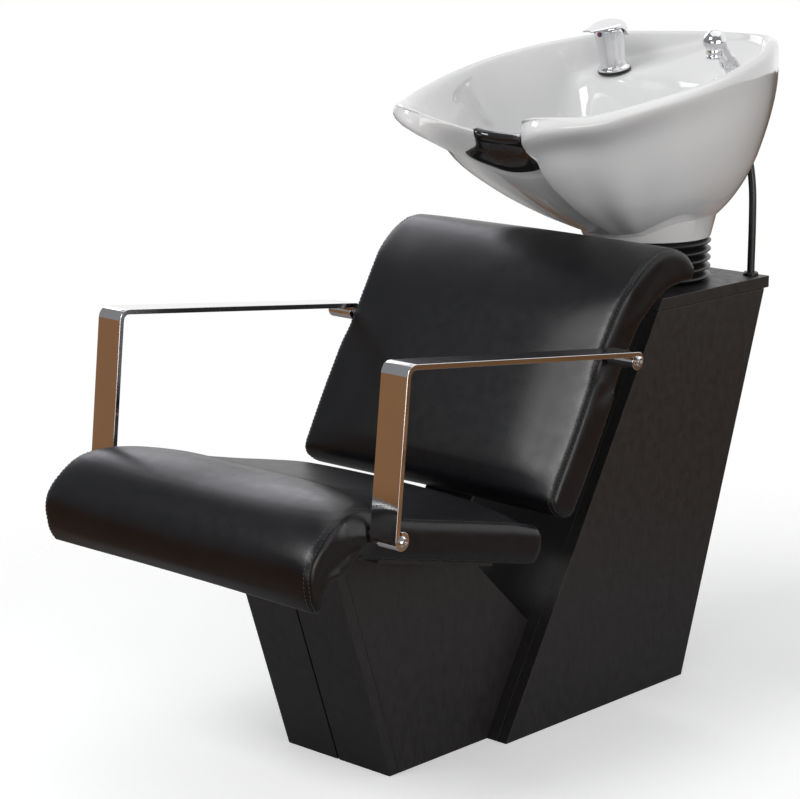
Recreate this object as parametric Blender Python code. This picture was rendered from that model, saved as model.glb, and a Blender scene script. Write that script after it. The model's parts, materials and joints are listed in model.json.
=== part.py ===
"""Shampoo backwash unit: a padded chair on a panelled pedestal, in front of a leaning cabinet
that carries a tilting ceramic bowl with a mixer tap and a hand spray.

Metres. +Z is up, +Y runs from the sitter's knees to the bowl, +X is the sitter's left.
The origin is on the floor, in the middle of the cabinet's floor panel. Depths below are
measured from the front edge of the cabinet's foot.
"""
import math

import bmesh
import bpy
from mathutils import Matrix, Vector
from mathutils.bvhtree import BVHTree

for old in list(bpy.data.objects):
    bpy.data.objects.remove(old, do_unlink=True)

GAP = 0.0003                    # between pieces that touch
RUNNING = 0.00009               # radial play of a pin or plug in its bore
BOARD = 0.018                   # laminated panel thickness

# cabinet behind the chair
CAB_WIDTH = 0.269
CAB_HEIGHT = 0.600
CAB_FLOOR_DEPTH = 0.418
CAB_FRONT_LEAN = math.radians(29.95)
CAB_REAR_LEAN = math.radians(18.1)
CAB_TOP_OVERHANG = 0.006        # of the top panel past the sides' rear edges
CAB_REAR_OPENING = 0.090        # left open over the rear panel for the hoses
FLOOR_OUTLET_R = 0.030
FLOOR_OUTLET_BACK = 0.090       # of the outlet behind the middle of the floor panel

# pedestal under the seat
PED_WIDTH = 0.197
PED_FLOOR_DEPTH = 0.205
PED_FRONT_LEAN = math.radians(18.8)
PED_KNEE_Z = 0.156              # where the rear leaves the cabinet's front
PED_TOP_REAR_Y = -0.045         # from the chair's datum
PED_JOINT = 0.003               # open joint between the two front panels

# the chair's datum, so that the back and the neck notch stay together
CHAIR_AHEAD = 0.480110229       # of the middle of the bowl's foot
CHAIR_BELOW = 0.600             # the cabinet's top

# padded slabs: middle line as (depth, height, thickness) from the datum, from one end to the other
SEAT_HALF = 0.2425
SEAT_LINE = ((-0.060, 0.326, 0.052), (-0.1935, 0.357, 0.052), (-0.327, 0.388, 0.052),
             (-0.4025, 0.411, 0.064), (-0.446, 0.409, 0.073), (-0.487, 0.390, 0.055),
             (-0.4975, 0.363, 0.036), (-0.4965, 0.343, 0.024))
BACK_INSET = 0.003              # of the back's sides from the seat's
BACK_LINE = ((-0.0095, 0.368, 0.058), (0.035, 0.4465, 0.058), (0.076, 0.519, 0.058),
             (0.101, 0.563, 0.059), (0.150, 0.6355, 0.062), (0.200, 0.670, 0.064),
             (0.243, 0.671, 0.052), (0.268, 0.662, 0.032))
SEAT_CROWN = 0.020              # swell of the upholstered face over its seams
BACK_CROWN = 0.008
PAD_END = 0.012                 # roundness of the slab's two ends
PAD_EDGE = 0.007                # roundness along the side seams
PAD_DRAWN = 0.0025              # how far the side faces pull in between the corners
SUB_BOARD = 0.012               # plywood under the seat and behind the back
SUB_BOARD_INSET = 0.062         # of the plywood from the side seams
SUB_BOARD_MARGIN = 0.020        # of the plywood from the straight stretch's ends

# steel strap that joins the plywood of the seat to that of the back
STRAP_WIDTH = 0.090
STRAP_T = 0.005
STRAP_UNDER_SEAT = 0.150
STRAP_UP_BACK = 0.110
STRAP_BEND_R = 0.018

# armrests, bent from flat bar with a rolled eye at each end
ARM_WIDTH = 0.045
ARM_T = 0.0072
ARM_EYE_R = 0.0125
ARM_BEND_R = 0.012
# (depth, height) from the chair's datum
ARM_CORNER = (-0.3773, 0.6341)  # outer corner of the bend, if it were sharp
ARM_SEAT_EYE = (-0.3868, 0.4115)
ARM_BACK_EYE = (0.0865, 0.5681)
ARM_SIDE_GAP = 0.0012           # bar to cushion side
BOLT_R = 0.0050
BOLT_HEAD_R = 0.0070
BOLT_HEAD_H = 0.0050
BOLT_SOCKET_R = 0.0030
BOLT_IN_PAD = 0.030

# bowl: depths are behind the middle of its foot, heights over the cabinet's top
BOWL_BACK = 0.140               # from the middle of the foot to the rear edge of the cabinet's top
# half of the rim, from the neck notch round the horn to the rear, as (half width, depth, height)
RIM = ((0.000, -0.334, 0.246), (0.045, -0.341, 0.250), (0.081, -0.378, 0.266), (0.108, -0.420, 0.282),
       (0.139, -0.405, 0.287), (0.171, -0.360, 0.291), (0.197, -0.290, 0.306), (0.2175, -0.180, 0.325),
       (0.2135, -0.080, 0.341), (0.186, 0.020, 0.355), (0.142, 0.100, 0.363), (0.096, 0.175, 0.362),
       (0.055, 0.228, 0.361), (0.000, 0.248, 0.360))
RIM_ROLL = 0.012                # how far the rolled rim stands out of its crest line
BOWL_STEPS = 36                 # round half the rim
# (share of the way from notch to rear, value); smooth in between
RIM_IN = ((0.0, 0.009), (0.07, 0.011), (0.13, 0.022), (0.22, 0.022), (0.40, 0.014), (0.54, 0.009),
          (1.0, 0.009))
LIP_HEIGHT = ((0.0, 0.058), (0.05, 0.051), (0.085, 0.039), (0.12, 0.039), (0.16, 0.033), (0.25, 0.020),
              (0.4, 0.016), (1.0, 0.016))
LIP_OUT = ((0.0, -0.020), (0.05, -0.027), (0.085, -0.020), (0.12, 0.002), (0.16, 0.010), (0.25, 0.012),
           (1.0, 0.012))
SCOOP_IN = ((0.0, 0.004), (0.06, 0.008), (0.11, 0.040), (0.16, 0.078), (0.23, 0.100), (0.33, 0.085),
            (0.45, 0.035), (0.62, 0.003), (1.0, 0.0))
SCOOP_DROP = ((0.0, 0.006), (0.06, 0.010), (0.11, 0.032), (0.16, 0.046), (0.23, 0.058), (0.33, 0.076),
              (0.50, 0.071), (1.0, 0.054))
HOLLOW = ((0.0, 0.0), (0.08, 0.0), (0.14, 0.020), (0.22, 0.030), (0.33, 0.022), (0.46, 0.006), (0.6, 0.0),
          (1.0, 0.0))
BELLY = ((0.0, 0.55), (0.19, 0.55), (0.33, 0.50), (0.50, 0.52), (1.0, 0.62))
COLLAR = ((0.0, 0.2), (0.30, 0.3), (0.60, 1.0), (1.0, 1.0))
BASIN_POWER = ((0.0, 2.0), (0.10, 1.8), (0.19, 1.35), (0.33, 1.9), (0.50, 3.6), (1.0, 4.0))
BOWL_FOOT_R = 0.100
BOWL_FOOT_UP = 0.067
BOWL_COLLAR_OUT = 0.007
BOWL_COLLAR_H = 0.034
FOOT_RING = 0.015               # width of the ring that the foot stands on
FOOT_RECESS = 0.015
DRAIN_AHEAD = 0.040             # of the drain before the middle of the foot
DRAIN_R = 0.0225
DRAIN_SEAT_R = 0.032
BASIN_FLOOR = 0.030             # ceramic over the foot's recess
DECK_UP = 0.306                 # where the tap stands
DECK_SLOPE = math.radians(14.0)  # down towards the basin
DECK_FRONT = 0.027
DECK_T = 0.018
POCKET_WALL = 0.022             # ceramic left between the rim line and the hollow under the deck
POCKET_FRONT = 0.028
POCKET_MOUTH = 0.112
POCKET_MOUTH_HALF = 0.120
POCKET_MOUTH_UP = 0.200

NECK_REACH = 2.58               # rim steps that the neck pad covers on each side at its lower edge
NECK_PAD_T = 0.009

# waste
STRAINER_FLANGE_R = 0.029
STRAINER_T = 0.003
STRAINER_HOLES = 6
STRAINER_HOLE_R = 0.0042
WASTE_STEM_BELOW = 0.030        # of the stem under the recess
WASTE_WALL = 0.003
WASTE_NUT_R = 0.031
WASTE_NUT_H = 0.008
WASTE_HOSE_R = 0.0205
WASTE_PASS = 0.014              # clearance of the hose in the cabinet's top
# the waste hose on its way from the bowl to the floor, as (share of the drop, share of the run)
WASTE_ROUTE = ((0.0, 0.0), (0.06, 0.0), (0.20, 0.0), (0.45, 0.28), (0.66, 0.63), (0.83, 0.92),
               (0.93, 1.0), (1.0, 1.0))

# tilt mechanism inside the bellows
TILT_UP = 0.040
TILT_PIN_R = 0.006
TILT_EAR = 0.005
TILT_EAR_R = 0.014
TILT_EAR_X = 0.0525             # inner face of the fixed ear
TILT_PLATE = 0.004
TILT_BASE_HALF_DEPTH = 0.055
SADDLE_R = 0.078
BELLOWS_R = 0.100
BELLOWS_RIBS = 5
BELLOWS_RIB_DEPTH = 0.013
BELLOWS_WALL = 0.003

# mixer tap on the deck's right and hand spray on its left
TAP_X = -0.1145
TAP_BACK = 0.060
TAP_BASE_R = 0.0255
TAP_WAIST_R = 0.0203
TAP_TOP_R = 0.0240
TAP_HEIGHT = 0.0670
TAP_STRAIGHT = 0.014            # of the column's side below its top
TAP_SHANK_R = 0.0150
TAP_SHANK_BELOW = 0.020
TAP_NUT_H = 0.008
TAP_NUT_R = 0.0178
GASKET_T = 0.003
GASKET_OUT = 0.0008             # of the gasket round the tap's foot
CAP_R = 0.0215
CAP_DOME = 0.0045
LEVER_T = 0.0024
# the lever, from its closed rear over its hood to its beak, as (depth from the tap's axis, half width,
# top and rim over the column, hollow or solid)
LEVER = ((0.0270, 0.0125, -0.0085, -0.0205, False), (0.0248, 0.0172, 0.0040, -0.0195, False),
         (0.0244, 0.0178, 0.0042, -0.0193, True), (0.0140, 0.0258, 0.0094, -0.0150, True),
         (0.0000, 0.0274, 0.0096, -0.0008, True), (-0.0140, 0.0254, 0.0092, 0.0008, True),
         (-0.0255, 0.0198, 0.0094, 0.0025, True), (-0.0400, 0.0140, 0.0098, 0.0052, True),
         (-0.0530, 0.0085, 0.0104, 0.0070, True))
INDEX_R = 0.0040
INDEX_T = 0.0014
INDEX_BELOW = 0.0045            # of the index's middle under the column's top

SPRAY_X = 0.116
SPRAY_BACK = 0.061
SPRAY_LEAN = math.radians(48.0)
SPRAY_BASE_R = 0.0200
SPRAY_BASE_H = 0.006
SPRAY_SLEEVE_R = 0.0135
SPRAY_SLEEVE_LEN = 0.028
SPRAY_STUB_R = 0.0085
SPRAY_STUB_LEN = 0.018
SPRAY_NECK_R = 0.0120
SPRAY_LEN = 0.052
SPRAY_HEAD_R = 0.0175
SPRAY_SHANK_R = 0.0130
SPRAY_NUT_R = 0.0160
SPRAY_NOZZLE_R = 0.0115
SPRAY_NOZZLE_LEN = 0.016

# hoses between the bowl and the cabinet
HOSE_R = 0.0058
HOSE_X = 0.110                  # where the spray's hose enters the cabinet's top
HOSE_CLEAR = 0.013              # of the hoses behind the front of the pocket's mouth
SUPPLY_R = 0.0050
SUPPLY_PITCH = 0.015
SUPPLY_X = -0.099
HOSE_INTO_CABINET = 0.060
GROMMET_R = 0.0120
GROMMET_H = 0.005

ROUND = 24                      # sides of a small turned piece


def paint(name, colour, roughness, metallic=0.0):
    material = bpy.data.materials.new(name)
    material.use_nodes = True
    shader = material.node_tree.nodes["Principled BSDF"]
    shader.inputs["Base Color"].default_value = (*colour, 1.0)
    shader.inputs["Roughness"].default_value = roughness
    shader.inputs["Metallic"].default_value = metallic
    return material


LAMINATE = ((0.012, 0.011, 0.012), 0.42)
VINYL = ((0.010, 0.010, 0.012), 0.38)
PLYWOOD = ((0.020, 0.018, 0.017), 0.7)
BLACK_STEEL = ((0.02, 0.02, 0.022), 0.45, 0.6)
CHROME = ((0.80, 0.80, 0.82), 0.06, 1.0)
CERAMIC = ((0.80, 0.80, 0.79), 0.08)
RUBBER = ((0.013, 0.013, 0.014), 0.35)
PLASTIC = ((0.75, 0.75, 0.74), 0.4)
ENAMEL = ((0.45, 0.02, 0.03), 0.3)

root = bpy.data.objects.new("unit", None)
root.location = (0.0, -CAB_FLOOR_DEPTH / 2, 0.0)
bpy.context.collection.objects.link(root)


def face_out(bm):
    """Make every face of a closed shape look outwards."""
    bmesh.ops.recalc_face_normals(bm, faces=bm.faces)
    if bm.calc_volume(signed=True) < 0:
        bmesh.ops.reverse_faces(bm, faces=bm.faces)


def add(name, bm, look, parent=None, smooth=False):
    """Turn a bmesh into a named object with its own material."""
    face_out(bm)
    mesh = bpy.data.meshes.new(name)
    bm.to_mesh(mesh)
    bm.free()
    mesh.materials.append(paint(name, *look))
    if smooth:
        mesh.shade_smooth()
        mesh.set_sharp_from_angle(angle=math.radians(40))
    obj = bpy.data.objects.new(name, mesh)
    bpy.context.collection.objects.link(obj)
    obj.parent = parent or root
    return obj


def pivot(name, place, tilt=0.0):
    """An empty on a joint's axis; children are modelled about it."""
    empty = bpy.data.objects.new(name, None)
    empty.location = place
    empty.rotation_euler = (tilt, 0.0, 0.0)
    empty.parent = root
    bpy.context.collection.objects.link(empty)
    return empty


def about(obj, place):
    """Move an object's origin to a place without moving its shape."""
    obj.data.transform(Matrix.Translation(-Vector(place)))
    obj.location = place
    return obj


def loft(rings, wrap=False):
    """Skin closed rings of equal length; wrap joins the last ring to the first."""
    bm = bmesh.new()
    loops = [[bm.verts.new(p) for p in ring] for ring in rings]
    count = len(loops[0])
    pairs = list(zip(loops, loops[1:]))
    if wrap:
        pairs.append((loops[-1], loops[0]))
    for low, high in pairs:
        for i in range(count):
            j = (i + 1) % count
            bm.faces.new((low[i], low[j], high[j], high[i]))
    if not wrap:
        bm.faces.new(list(reversed(loops[0])))
        bm.faces.new(loops[-1])
    return bm


def prism(outline, x0, x1):
    """Extrude a (depth, height) outline sideways from x0 to x1."""
    return loft([[(x, y, z) for y, z in outline] for x in (x0, x1)])


def plan_prism(outline, z0, z1):
    """Extrude an (x, depth) outline upwards from z0 to z1."""
    return loft([[(x, y, z) for x, y in outline] for z in (z0, z1)])


def circle(radius, height, centre=(0.0, 0.0), sides=ROUND):
    turns = [2 * math.pi * i / sides for i in range(sides)]
    return [(centre[0] + radius * math.sin(a), centre[1] - radius * math.cos(a), height) for a in turns]


def turned(profile, centre=(0.0, 0.0), sides=ROUND, wrap=False):
    """Turn (radius, height) points about a vertical axis; wrap leaves a bore."""
    return loft([circle(r, h, centre, sides) for r, h in profile], wrap)


def along_x(bm, place, flip=False):
    """Lay a piece turned about +Z along X, with its origin at a place."""
    turn = Matrix.Rotation(math.radians(-90 if flip else 90), 4, "Y")
    bmesh.ops.transform(bm, matrix=Matrix.Translation(place) @ turn, verts=bm.verts)
    return bm


def cut(target, bm, name):
    """Subtract a closed shape from an object."""
    face_out(bm)
    mesh = bpy.data.meshes.new(name)
    bm.to_mesh(mesh)
    bm.free()
    tool = bpy.data.objects.new(name, mesh)
    tool.hide_render = True
    tool.display_type = "WIRE"
    tool.parent = target.parent
    bpy.context.collection.objects.link(tool)
    step = target.modifiers.new(name, "BOOLEAN")
    step.operation = "DIFFERENCE"
    step.solver = "EXACT"
    step.object = tool
    return tool


def fuse(bm, other):
    """Join two overlapping closed shapes into one bmesh by a Boolean."""
    objs = []
    for part in (bm, other):
        face_out(part)
        mesh = bpy.data.meshes.new("fuse")
        part.to_mesh(mesh)
        part.free()
        obj = bpy.data.objects.new("fuse", mesh)
        bpy.context.collection.objects.link(obj)
        objs.append(obj)
    step = objs[0].modifiers.new("fuse", "BOOLEAN")
    step.operation = "UNION"
    step.solver = "EXACT"
    step.object = objs[1]
    graph = bpy.context.evaluated_depsgraph_get()
    joined = bmesh.new()
    joined.from_mesh(objs[0].evaluated_get(graph).to_mesh())
    for obj in objs:
        bpy.data.objects.remove(obj, do_unlink=True)
    return joined


def spline(points, steps, first=None, last=None):
    """Points on a smooth curve through the given ones, steps in each span."""
    pts = [Vector(p) for p in points]
    before = Vector(first) if first else pts[0] * 2 - pts[1]
    after = Vector(last) if last else pts[-1] * 2 - pts[-2]
    pts = [before] + pts + [after]
    curve = []
    for a, b, c, d in zip(pts, pts[1:], pts[2:], pts[3:]):
        for k in range(steps):
            t = k / steps
            curve.append(0.5 * (2 * b + (c - a) * t + (2 * a - 5 * b + 4 * c - d) * t ** 2
                                + (3 * b - a - 3 * c + d) * t ** 3))
    curve.append(pts[-2])
    return curve


def knots(table, share):
    """A smooth curve through (share, value) knots that doesn't overshoot them."""
    runs = [(b[0] - a[0], (b[1] - a[1]) / (b[0] - a[0])) for a, b in zip(table, table[1:])]
    slopes = [0.0]
    for (_, before), (_, after) in zip(runs, runs[1:]):
        slopes.append(2 * before * after / (before + after) if before * after > 0 else 0.0)
    slopes.append(0.0)
    k = 0
    while k < len(runs) - 1 and share > table[k + 1][0]:
        k += 1
    run, rise = runs[k][0], table[k + 1][1] - table[k][1]
    t = min(max((share - table[k][0]) / run, 0.0), 1.0)
    bend = (slopes[k] * run - rise) * (1 - t) - (slopes[k + 1] * run - rise) * t
    return table[k][1] + rise * t + bend * t * (1 - t)


# cabinet
def cab_front(z):
    return z * math.tan(CAB_FRONT_LEAN)


def cab_rear(z):
    return CAB_FLOOR_DEPTH + z * math.tan(CAB_REAR_LEAN)


cab_half = CAB_WIDTH / 2
cab_inner = cab_half - BOARD - GAP
under_top = CAB_HEIGHT - BOARD - GAP
front_t = BOARD / math.cos(CAB_FRONT_LEAN)
rear_t = BOARD / math.cos(CAB_REAR_LEAN)

cab_side = [(0.0, 0.0), (CAB_FLOOR_DEPTH, 0.0), (cab_rear(under_top), under_top),
            (cab_front(under_top), under_top)]
for side, label in ((1, "left"), (-1, "right")):
    add("cabinet_side_" + label, prism(cab_side, side * (cab_half - BOARD), side * cab_half), LAMINATE)

add("cabinet_front", prism([(0.0, 0.0), (front_t, 0.0), (cab_front(under_top) + front_t, under_top),
                            (cab_front(under_top), under_top)], -cab_inner, cab_inner), LAMINATE)
rear_top = under_top - CAB_REAR_OPENING
cab_rear_panel = [(CAB_FLOOR_DEPTH - rear_t, 0.0), (CAB_FLOOR_DEPTH, 0.0), (cab_rear(rear_top), rear_top),
                  (cab_rear(rear_top) - rear_t, rear_top)]
add("cabinet_rear", prism(cab_rear_panel, -cab_inner, cab_inner), LAMINATE)
floor_panel = add("cabinet_floor", prism([(front_t + GAP, 0.0), (CAB_FLOOR_DEPTH - rear_t - GAP, 0.0),
                                          (cab_rear(BOARD) - rear_t - GAP, BOARD),
                                          (cab_front(BOARD) + front_t + GAP, BOARD)],
                                         -cab_inner, cab_inner), LAMINATE)
outlet = (0.0, CAB_FLOOR_DEPTH / 2 + FLOOR_OUTLET_BACK)
cut(floor_panel, turned([(FLOOR_OUTLET_R, -BOARD), (FLOOR_OUTLET_R, 2 * BOARD)], outlet), "outlet_cut")

cab_top_under = CAB_HEIGHT - BOARD
cab_top_rear = cab_rear(CAB_HEIGHT) + CAB_TOP_OVERHANG
cab_top_panel = [(cab_front(cab_top_under), cab_top_under), (cab_top_rear, cab_top_under),
                 (cab_top_rear, CAB_HEIGHT), (cab_front(CAB_HEIGHT), CAB_HEIGHT)]
cabinet_top = add("cabinet_top", prism(cab_top_panel, -cab_half, cab_half), LAMINATE)

# places of the bowl and its fittings
bowl_y = cab_top_rear - BOWL_BACK
foot_z = CAB_HEIGHT + BOWL_FOOT_UP
tilt_z = CAB_HEIGHT + TILT_UP
deck_top = CAB_HEIGHT + DECK_UP
drain_y = bowl_y - DRAIN_AHEAD
deck_front_y = bowl_y + DECK_FRONT
pocket_y = bowl_y + POCKET_FRONT
pocket_mouth_y = bowl_y + POCKET_MOUTH
pocket_mouth_z = CAB_HEIGHT + POCKET_MOUTH_UP
tap_y = bowl_y + TAP_BACK
spray_y = bowl_y + SPRAY_BACK
hose_y = pocket_mouth_y + HOSE_CLEAR
supply_x = [SUPPLY_X - SUPPLY_PITCH / 2, SUPPLY_X + SUPPLY_PITCH / 2]

# places of the chair
chair = Vector((bowl_y - CHAIR_AHEAD, CAB_HEIGHT - CHAIR_BELOW))
seat_line = [(chair.x + y, chair.y + z, t) for y, z, t in SEAT_LINE]
back_line = [(chair.x + y, chair.y + z, t) for y, z, t in BACK_LINE]
back_half = SEAT_HALF - BACK_INSET
ped_rear_y = chair.x + PED_TOP_REAR_Y


def deck_at(y):
    """Height of the deck, which falls towards the basin."""
    return deck_top + (y - tap_y) * math.tan(DECK_SLOPE)


def on_deck(x, y):
    """The frame of a fitting that stands square on the deck."""
    return Matrix.Translation((x, y, deck_at(y))) @ Matrix.Rotation(DECK_SLOPE, 4, "X")


def placed(bm, frame):
    bmesh.ops.transform(bm, matrix=frame, verts=bm.verts)
    return bm


waste_pass_r = WASTE_HOSE_R + WASTE_PASS
holes = [((0.0, drain_y), waste_pass_r), ((HOSE_X, hose_y), HOSE_R + GAP)]
holes += [((x, hose_y), SUPPLY_R + GAP) for x in supply_x]
for number, (centre, radius) in enumerate(holes):
    cut(cabinet_top, turned([(radius, cab_top_under - BOARD), (radius, CAB_HEIGHT + BOARD)], centre),
        "top_cut_%d" % number)


# padded slabs
def slab_outline(line, steps, front):
    """Round a slab: (place, normal, share of its length, on its face) for each point."""
    path = spline(line, steps)
    total = len(path) - 1
    sides = ([], [])
    for i, p in enumerate(path):
        ahead = path[min(i + 1, total)] - path[max(i - 1, 0)]
        along = Vector((ahead.x, ahead.y)).normalized()
        normal = Vector((along.y, -along.x))
        for face, group in ((1, sides[0]), (-1, sides[1])):
            edge = Vector((p.x, p.y)) + normal * face * p.z / 2
            group.append((edge, i / total, face == front))
    caps = []
    for end, sign in ((total, 1), (0, -1)):
        p = path[end]
        ahead = path[total] - path[total - 1] if end else path[1] - path[0]
        along = Vector((ahead.x, ahead.y)).normalized() * sign
        normal = Vector((along.y, -along.x)) * sign
        cap = []
        for k in (0.42, 0.27, 0.0, -0.27, -0.42):
            out = PAD_END * (1 - (2 * abs(k)) ** 3)
            cap.append((Vector((p.x, p.y)) + normal * k * sign * p.z + along * out, end / total, False))
        caps.append(cap)
    spots = sides[0] + caps[0] + list(reversed(sides[1])) + caps[1]
    outline = []
    for i, (edge, share, face) in enumerate(spots):
        run = (spots[(i + 1) % len(spots)][0] - spots[i - 1][0]).normalized()
        outline.append((edge, Vector((run.y, -run.x)), share, face))
    return outline


def padded(line, half, steps, front, swell):
    """Upholstered slab: crowned on its face, drawn in along its sides, rounded at its seams."""
    outline = slab_outline(line, steps, front)
    stations = [(1.0, PAD_EDGE), (1.0 - 0.3 * PAD_EDGE / half, 0.35 * PAD_EDGE), (1.0 - PAD_EDGE / half, 0.0)]
    stations += [(share, 0.0) for share in (0.93, 0.86, 0.70, 0.42, 0.14)]
    stations += [(-share, inset) for share, inset in reversed(stations)]
    rings = []
    for share, inset in stations:
        ring = []
        for edge, normal, s, face in outline:
            lengthwise = min(0.3 + s / 0.07, 1.0, (1 - s) / 0.75)
            crown = swell * (1 - share ** 10) * lengthwise if face else 0.0
            drawn = PAD_DRAWN * math.sin(math.pi * s) * abs(share) ** 3
            spot = edge + normal * (crown - inset)
            ring.append((share * (half - drawn), spot.x, spot.y))
        rings.append(ring)
    return loft(rings)


class Straight:
    """The straight stretch at a slab's start, for what is screwed to its flat side."""

    def __init__(self, line, front):
        self.start = Vector(line[0][:2])
        self.end = Vector(line[2][:2])
        self.along = (self.end - self.start).normalized()
        self.away = Vector((-self.along.y, self.along.x)) * front
        self.length = (self.end - self.start).length
        self.half_t = line[0][2] / 2

    def at(self, run, depth):
        """A point a distance along the stretch and behind the slab's flat side."""
        return self.start + self.along * run + self.away * (self.half_t + depth)


def plate_on(flat, run0, run1, depth0, depth1):
    spots = [flat.at(run0, depth0), flat.at(run1, depth0), flat.at(run1, depth1), flat.at(run0, depth1)]
    return [(p.x, p.y) for p in spots]


seat_cushion = add("seat_cushion", padded(seat_line, SEAT_HALF, 4, 1, SEAT_CROWN), VINYL, smooth=True)
back_cushion = add("back_cushion", padded(back_line, back_half, 4, -1, BACK_CROWN), VINYL, smooth=True)

seat_flat = Straight(seat_line, 1)
back_flat = Straight(back_line, -1)
seat_board = plate_on(seat_flat, SUB_BOARD_MARGIN, seat_flat.length - SUB_BOARD_MARGIN, GAP, GAP + SUB_BOARD)
seat_board_half = SEAT_HALF - SUB_BOARD_INSET
add("seat_board", prism(seat_board, -seat_board_half, seat_board_half), PLYWOOD)
back_board_half = back_half - SUB_BOARD_INSET
back_board = plate_on(back_flat, SUB_BOARD_MARGIN, back_flat.length - SUB_BOARD_MARGIN, GAP, GAP + SUB_BOARD)
add("back_board", prism(back_board, -back_board_half, back_board_half), PLYWOOD)


# pedestal
ped_half = PED_WIDTH / 2
ped_inner = ped_half - BOARD - GAP
seat_under = 2 * GAP + SUB_BOARD


def seat_line_z(y, depth):
    """Height at a depth on the plane that lies so far under the seat cushion."""
    p = seat_flat.at(0.0, depth)
    return p.y + (y - p.x) * seat_flat.along.y / seat_flat.along.x


def ped_front(z):
    return -PED_FLOOR_DEPTH - z * math.tan(PED_FRONT_LEAN)


def meet_front(depth, set_back):
    """Where the pedestal's front, set back, meets a plane under the seat."""
    z = seat_line_z(ped_front(0.3), depth)
    for _ in range(20):
        z = seat_line_z(ped_front(z) + set_back, depth)
    return (ped_front(z) + set_back, z)


ped_front_t = BOARD / math.cos(PED_FRONT_LEAN)
behind_front = ped_front_t + GAP
ped_knee = (cab_front(PED_KNEE_Z) - GAP, PED_KNEE_Z)
ped_crest = (ped_rear_y, seat_line_z(ped_rear_y, seat_under))
ped_side = [(ped_front(0.0) + behind_front, 0.0), (-GAP, 0.0), ped_knee, ped_crest,
            meet_front(seat_under, behind_front)]
for side, label in ((1, "left"), (-1, "right")):
    add("pedestal_side_" + label, prism(ped_side, side * (ped_half - BOARD), side * ped_half), LAMINATE)
    front_panel = [(ped_front(0.0), 0.0), (ped_front(0.0) + ped_front_t, 0.0),
                   meet_front(seat_under, ped_front_t), meet_front(seat_under, 0.0)]
    add("pedestal_front_" + label, prism(front_panel, side * PED_JOINT / 2, side * ped_half), LAMINATE)

strap_under = seat_under + STRAP_T + GAP
slope = math.atan2(ped_crest[1] - ped_knee[1], ped_knee[0] - ped_crest[0])


def upper_rear_z(y, depth):
    """Height on the pedestal's upper rear slope, so far inside it."""
    return ped_knee[1] + (ped_knee[0] - y) * math.tan(slope) - depth / math.cos(slope)


def meet_upper(under, depth):
    """Where the upper rear slope meets a plane under the seat."""
    rise = seat_flat.along.y / seat_flat.along.x
    offset = seat_line_z(0.0, under) - upper_rear_z(0.0, depth)
    y = -offset / (rise + math.tan(slope))
    return (y, seat_line_z(y, under))


ped_top = [meet_upper(strap_under, BOARD + GAP), meet_upper(strap_under + BOARD, BOARD + GAP),
           meet_front(strap_under + BOARD, behind_front), meet_front(strap_under, behind_front)]
add("pedestal_top", prism(ped_top, -ped_inner, ped_inner), LAMINATE)
lower_t = BOARD / math.cos(CAB_FRONT_LEAN)
rear_lower = [(-GAP, 0.0), ped_knee, (ped_knee[0] - lower_t, PED_KNEE_Z), (-GAP - lower_t, 0.0)]
add("pedestal_rear_lower", prism(rear_lower, -ped_inner, ped_inner), LAMINATE)
upper_foot = PED_KNEE_Z + GAP
upper_foot_y = ped_knee[0] - (upper_foot - PED_KNEE_Z) / math.tan(slope)
upper_foot_in = ped_knee[0] - (upper_foot - PED_KNEE_Z + BOARD / math.cos(slope)) / math.tan(slope)
add("pedestal_rear_upper", prism([(upper_foot_y, upper_foot), meet_upper(strap_under, 0.0),
                                  meet_upper(strap_under, BOARD), (upper_foot_in, upper_foot)],
                                 -ped_inner, ped_inner), LAMINATE)


# strap from under the seat board to behind the back board
def bar_outline(path, thickness):
    """Both sides of a bar that follows a path of (depth, height) points."""
    pts = [Vector(p) for p in path]
    left, right = [], []
    for i, p in enumerate(pts):
        a = pts[max(i - 1, 0)]
        b = pts[min(i + 1, len(pts) - 1)]
        into = (p - a).normalized() if i else (b - p).normalized()
        out = (b - p).normalized() if i < len(pts) - 1 else into
        along = (into + out).normalized()
        normal = Vector((-along.y, along.x))
        reach = thickness / 2 / max(along.dot(into), 0.2)
        left.append(tuple(p + normal * reach))
        right.append(tuple(p - normal * reach))
    return left + list(reversed(right))


def rounded_corner(a, corner, b, radius, steps=5):
    """An arc that rounds a corner between two straight runs."""
    a, corner, b = Vector(a), Vector(corner), Vector(b)
    u, v = (a - corner).normalized(), (b - corner).normalized()
    half = u.angle(v) / 2
    reach = radius / math.tan(half)
    centre = corner + (u + v).normalized() * radius / math.sin(half)
    start, end = corner + u * reach - centre, corner + v * reach - centre
    turn = start.angle_signed(end)
    arc = []
    for k in range(steps + 1):
        arc.append(tuple(centre + Matrix.Rotation(-turn * k / steps, 2) @ start))
    return arc


strap_mid = seat_under + STRAP_T / 2
back_mid = seat_under + STRAP_T / 2
seat_dir, back_dir = seat_flat.along, back_flat.along
p, q = seat_flat.at(0.0, strap_mid), back_flat.at(0.0, back_mid)
cross = seat_dir.x * back_dir.y - seat_dir.y * back_dir.x
reach = ((q - p).x * back_dir.y - (q - p).y * back_dir.x) / cross
strap_corner = p + seat_dir * reach
strap_low = seat_flat.at(STRAP_UNDER_SEAT, strap_mid)
strap_high = back_flat.at(STRAP_UP_BACK, back_mid)
strap_path = [tuple(strap_low)] + rounded_corner(strap_low, strap_corner, strap_high, STRAP_BEND_R)
strap_path += [tuple(strap_high)]
add("back_strap", prism(bar_outline(strap_path, STRAP_T), -STRAP_WIDTH / 2, STRAP_WIDTH / 2), BLACK_STEEL)

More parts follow.
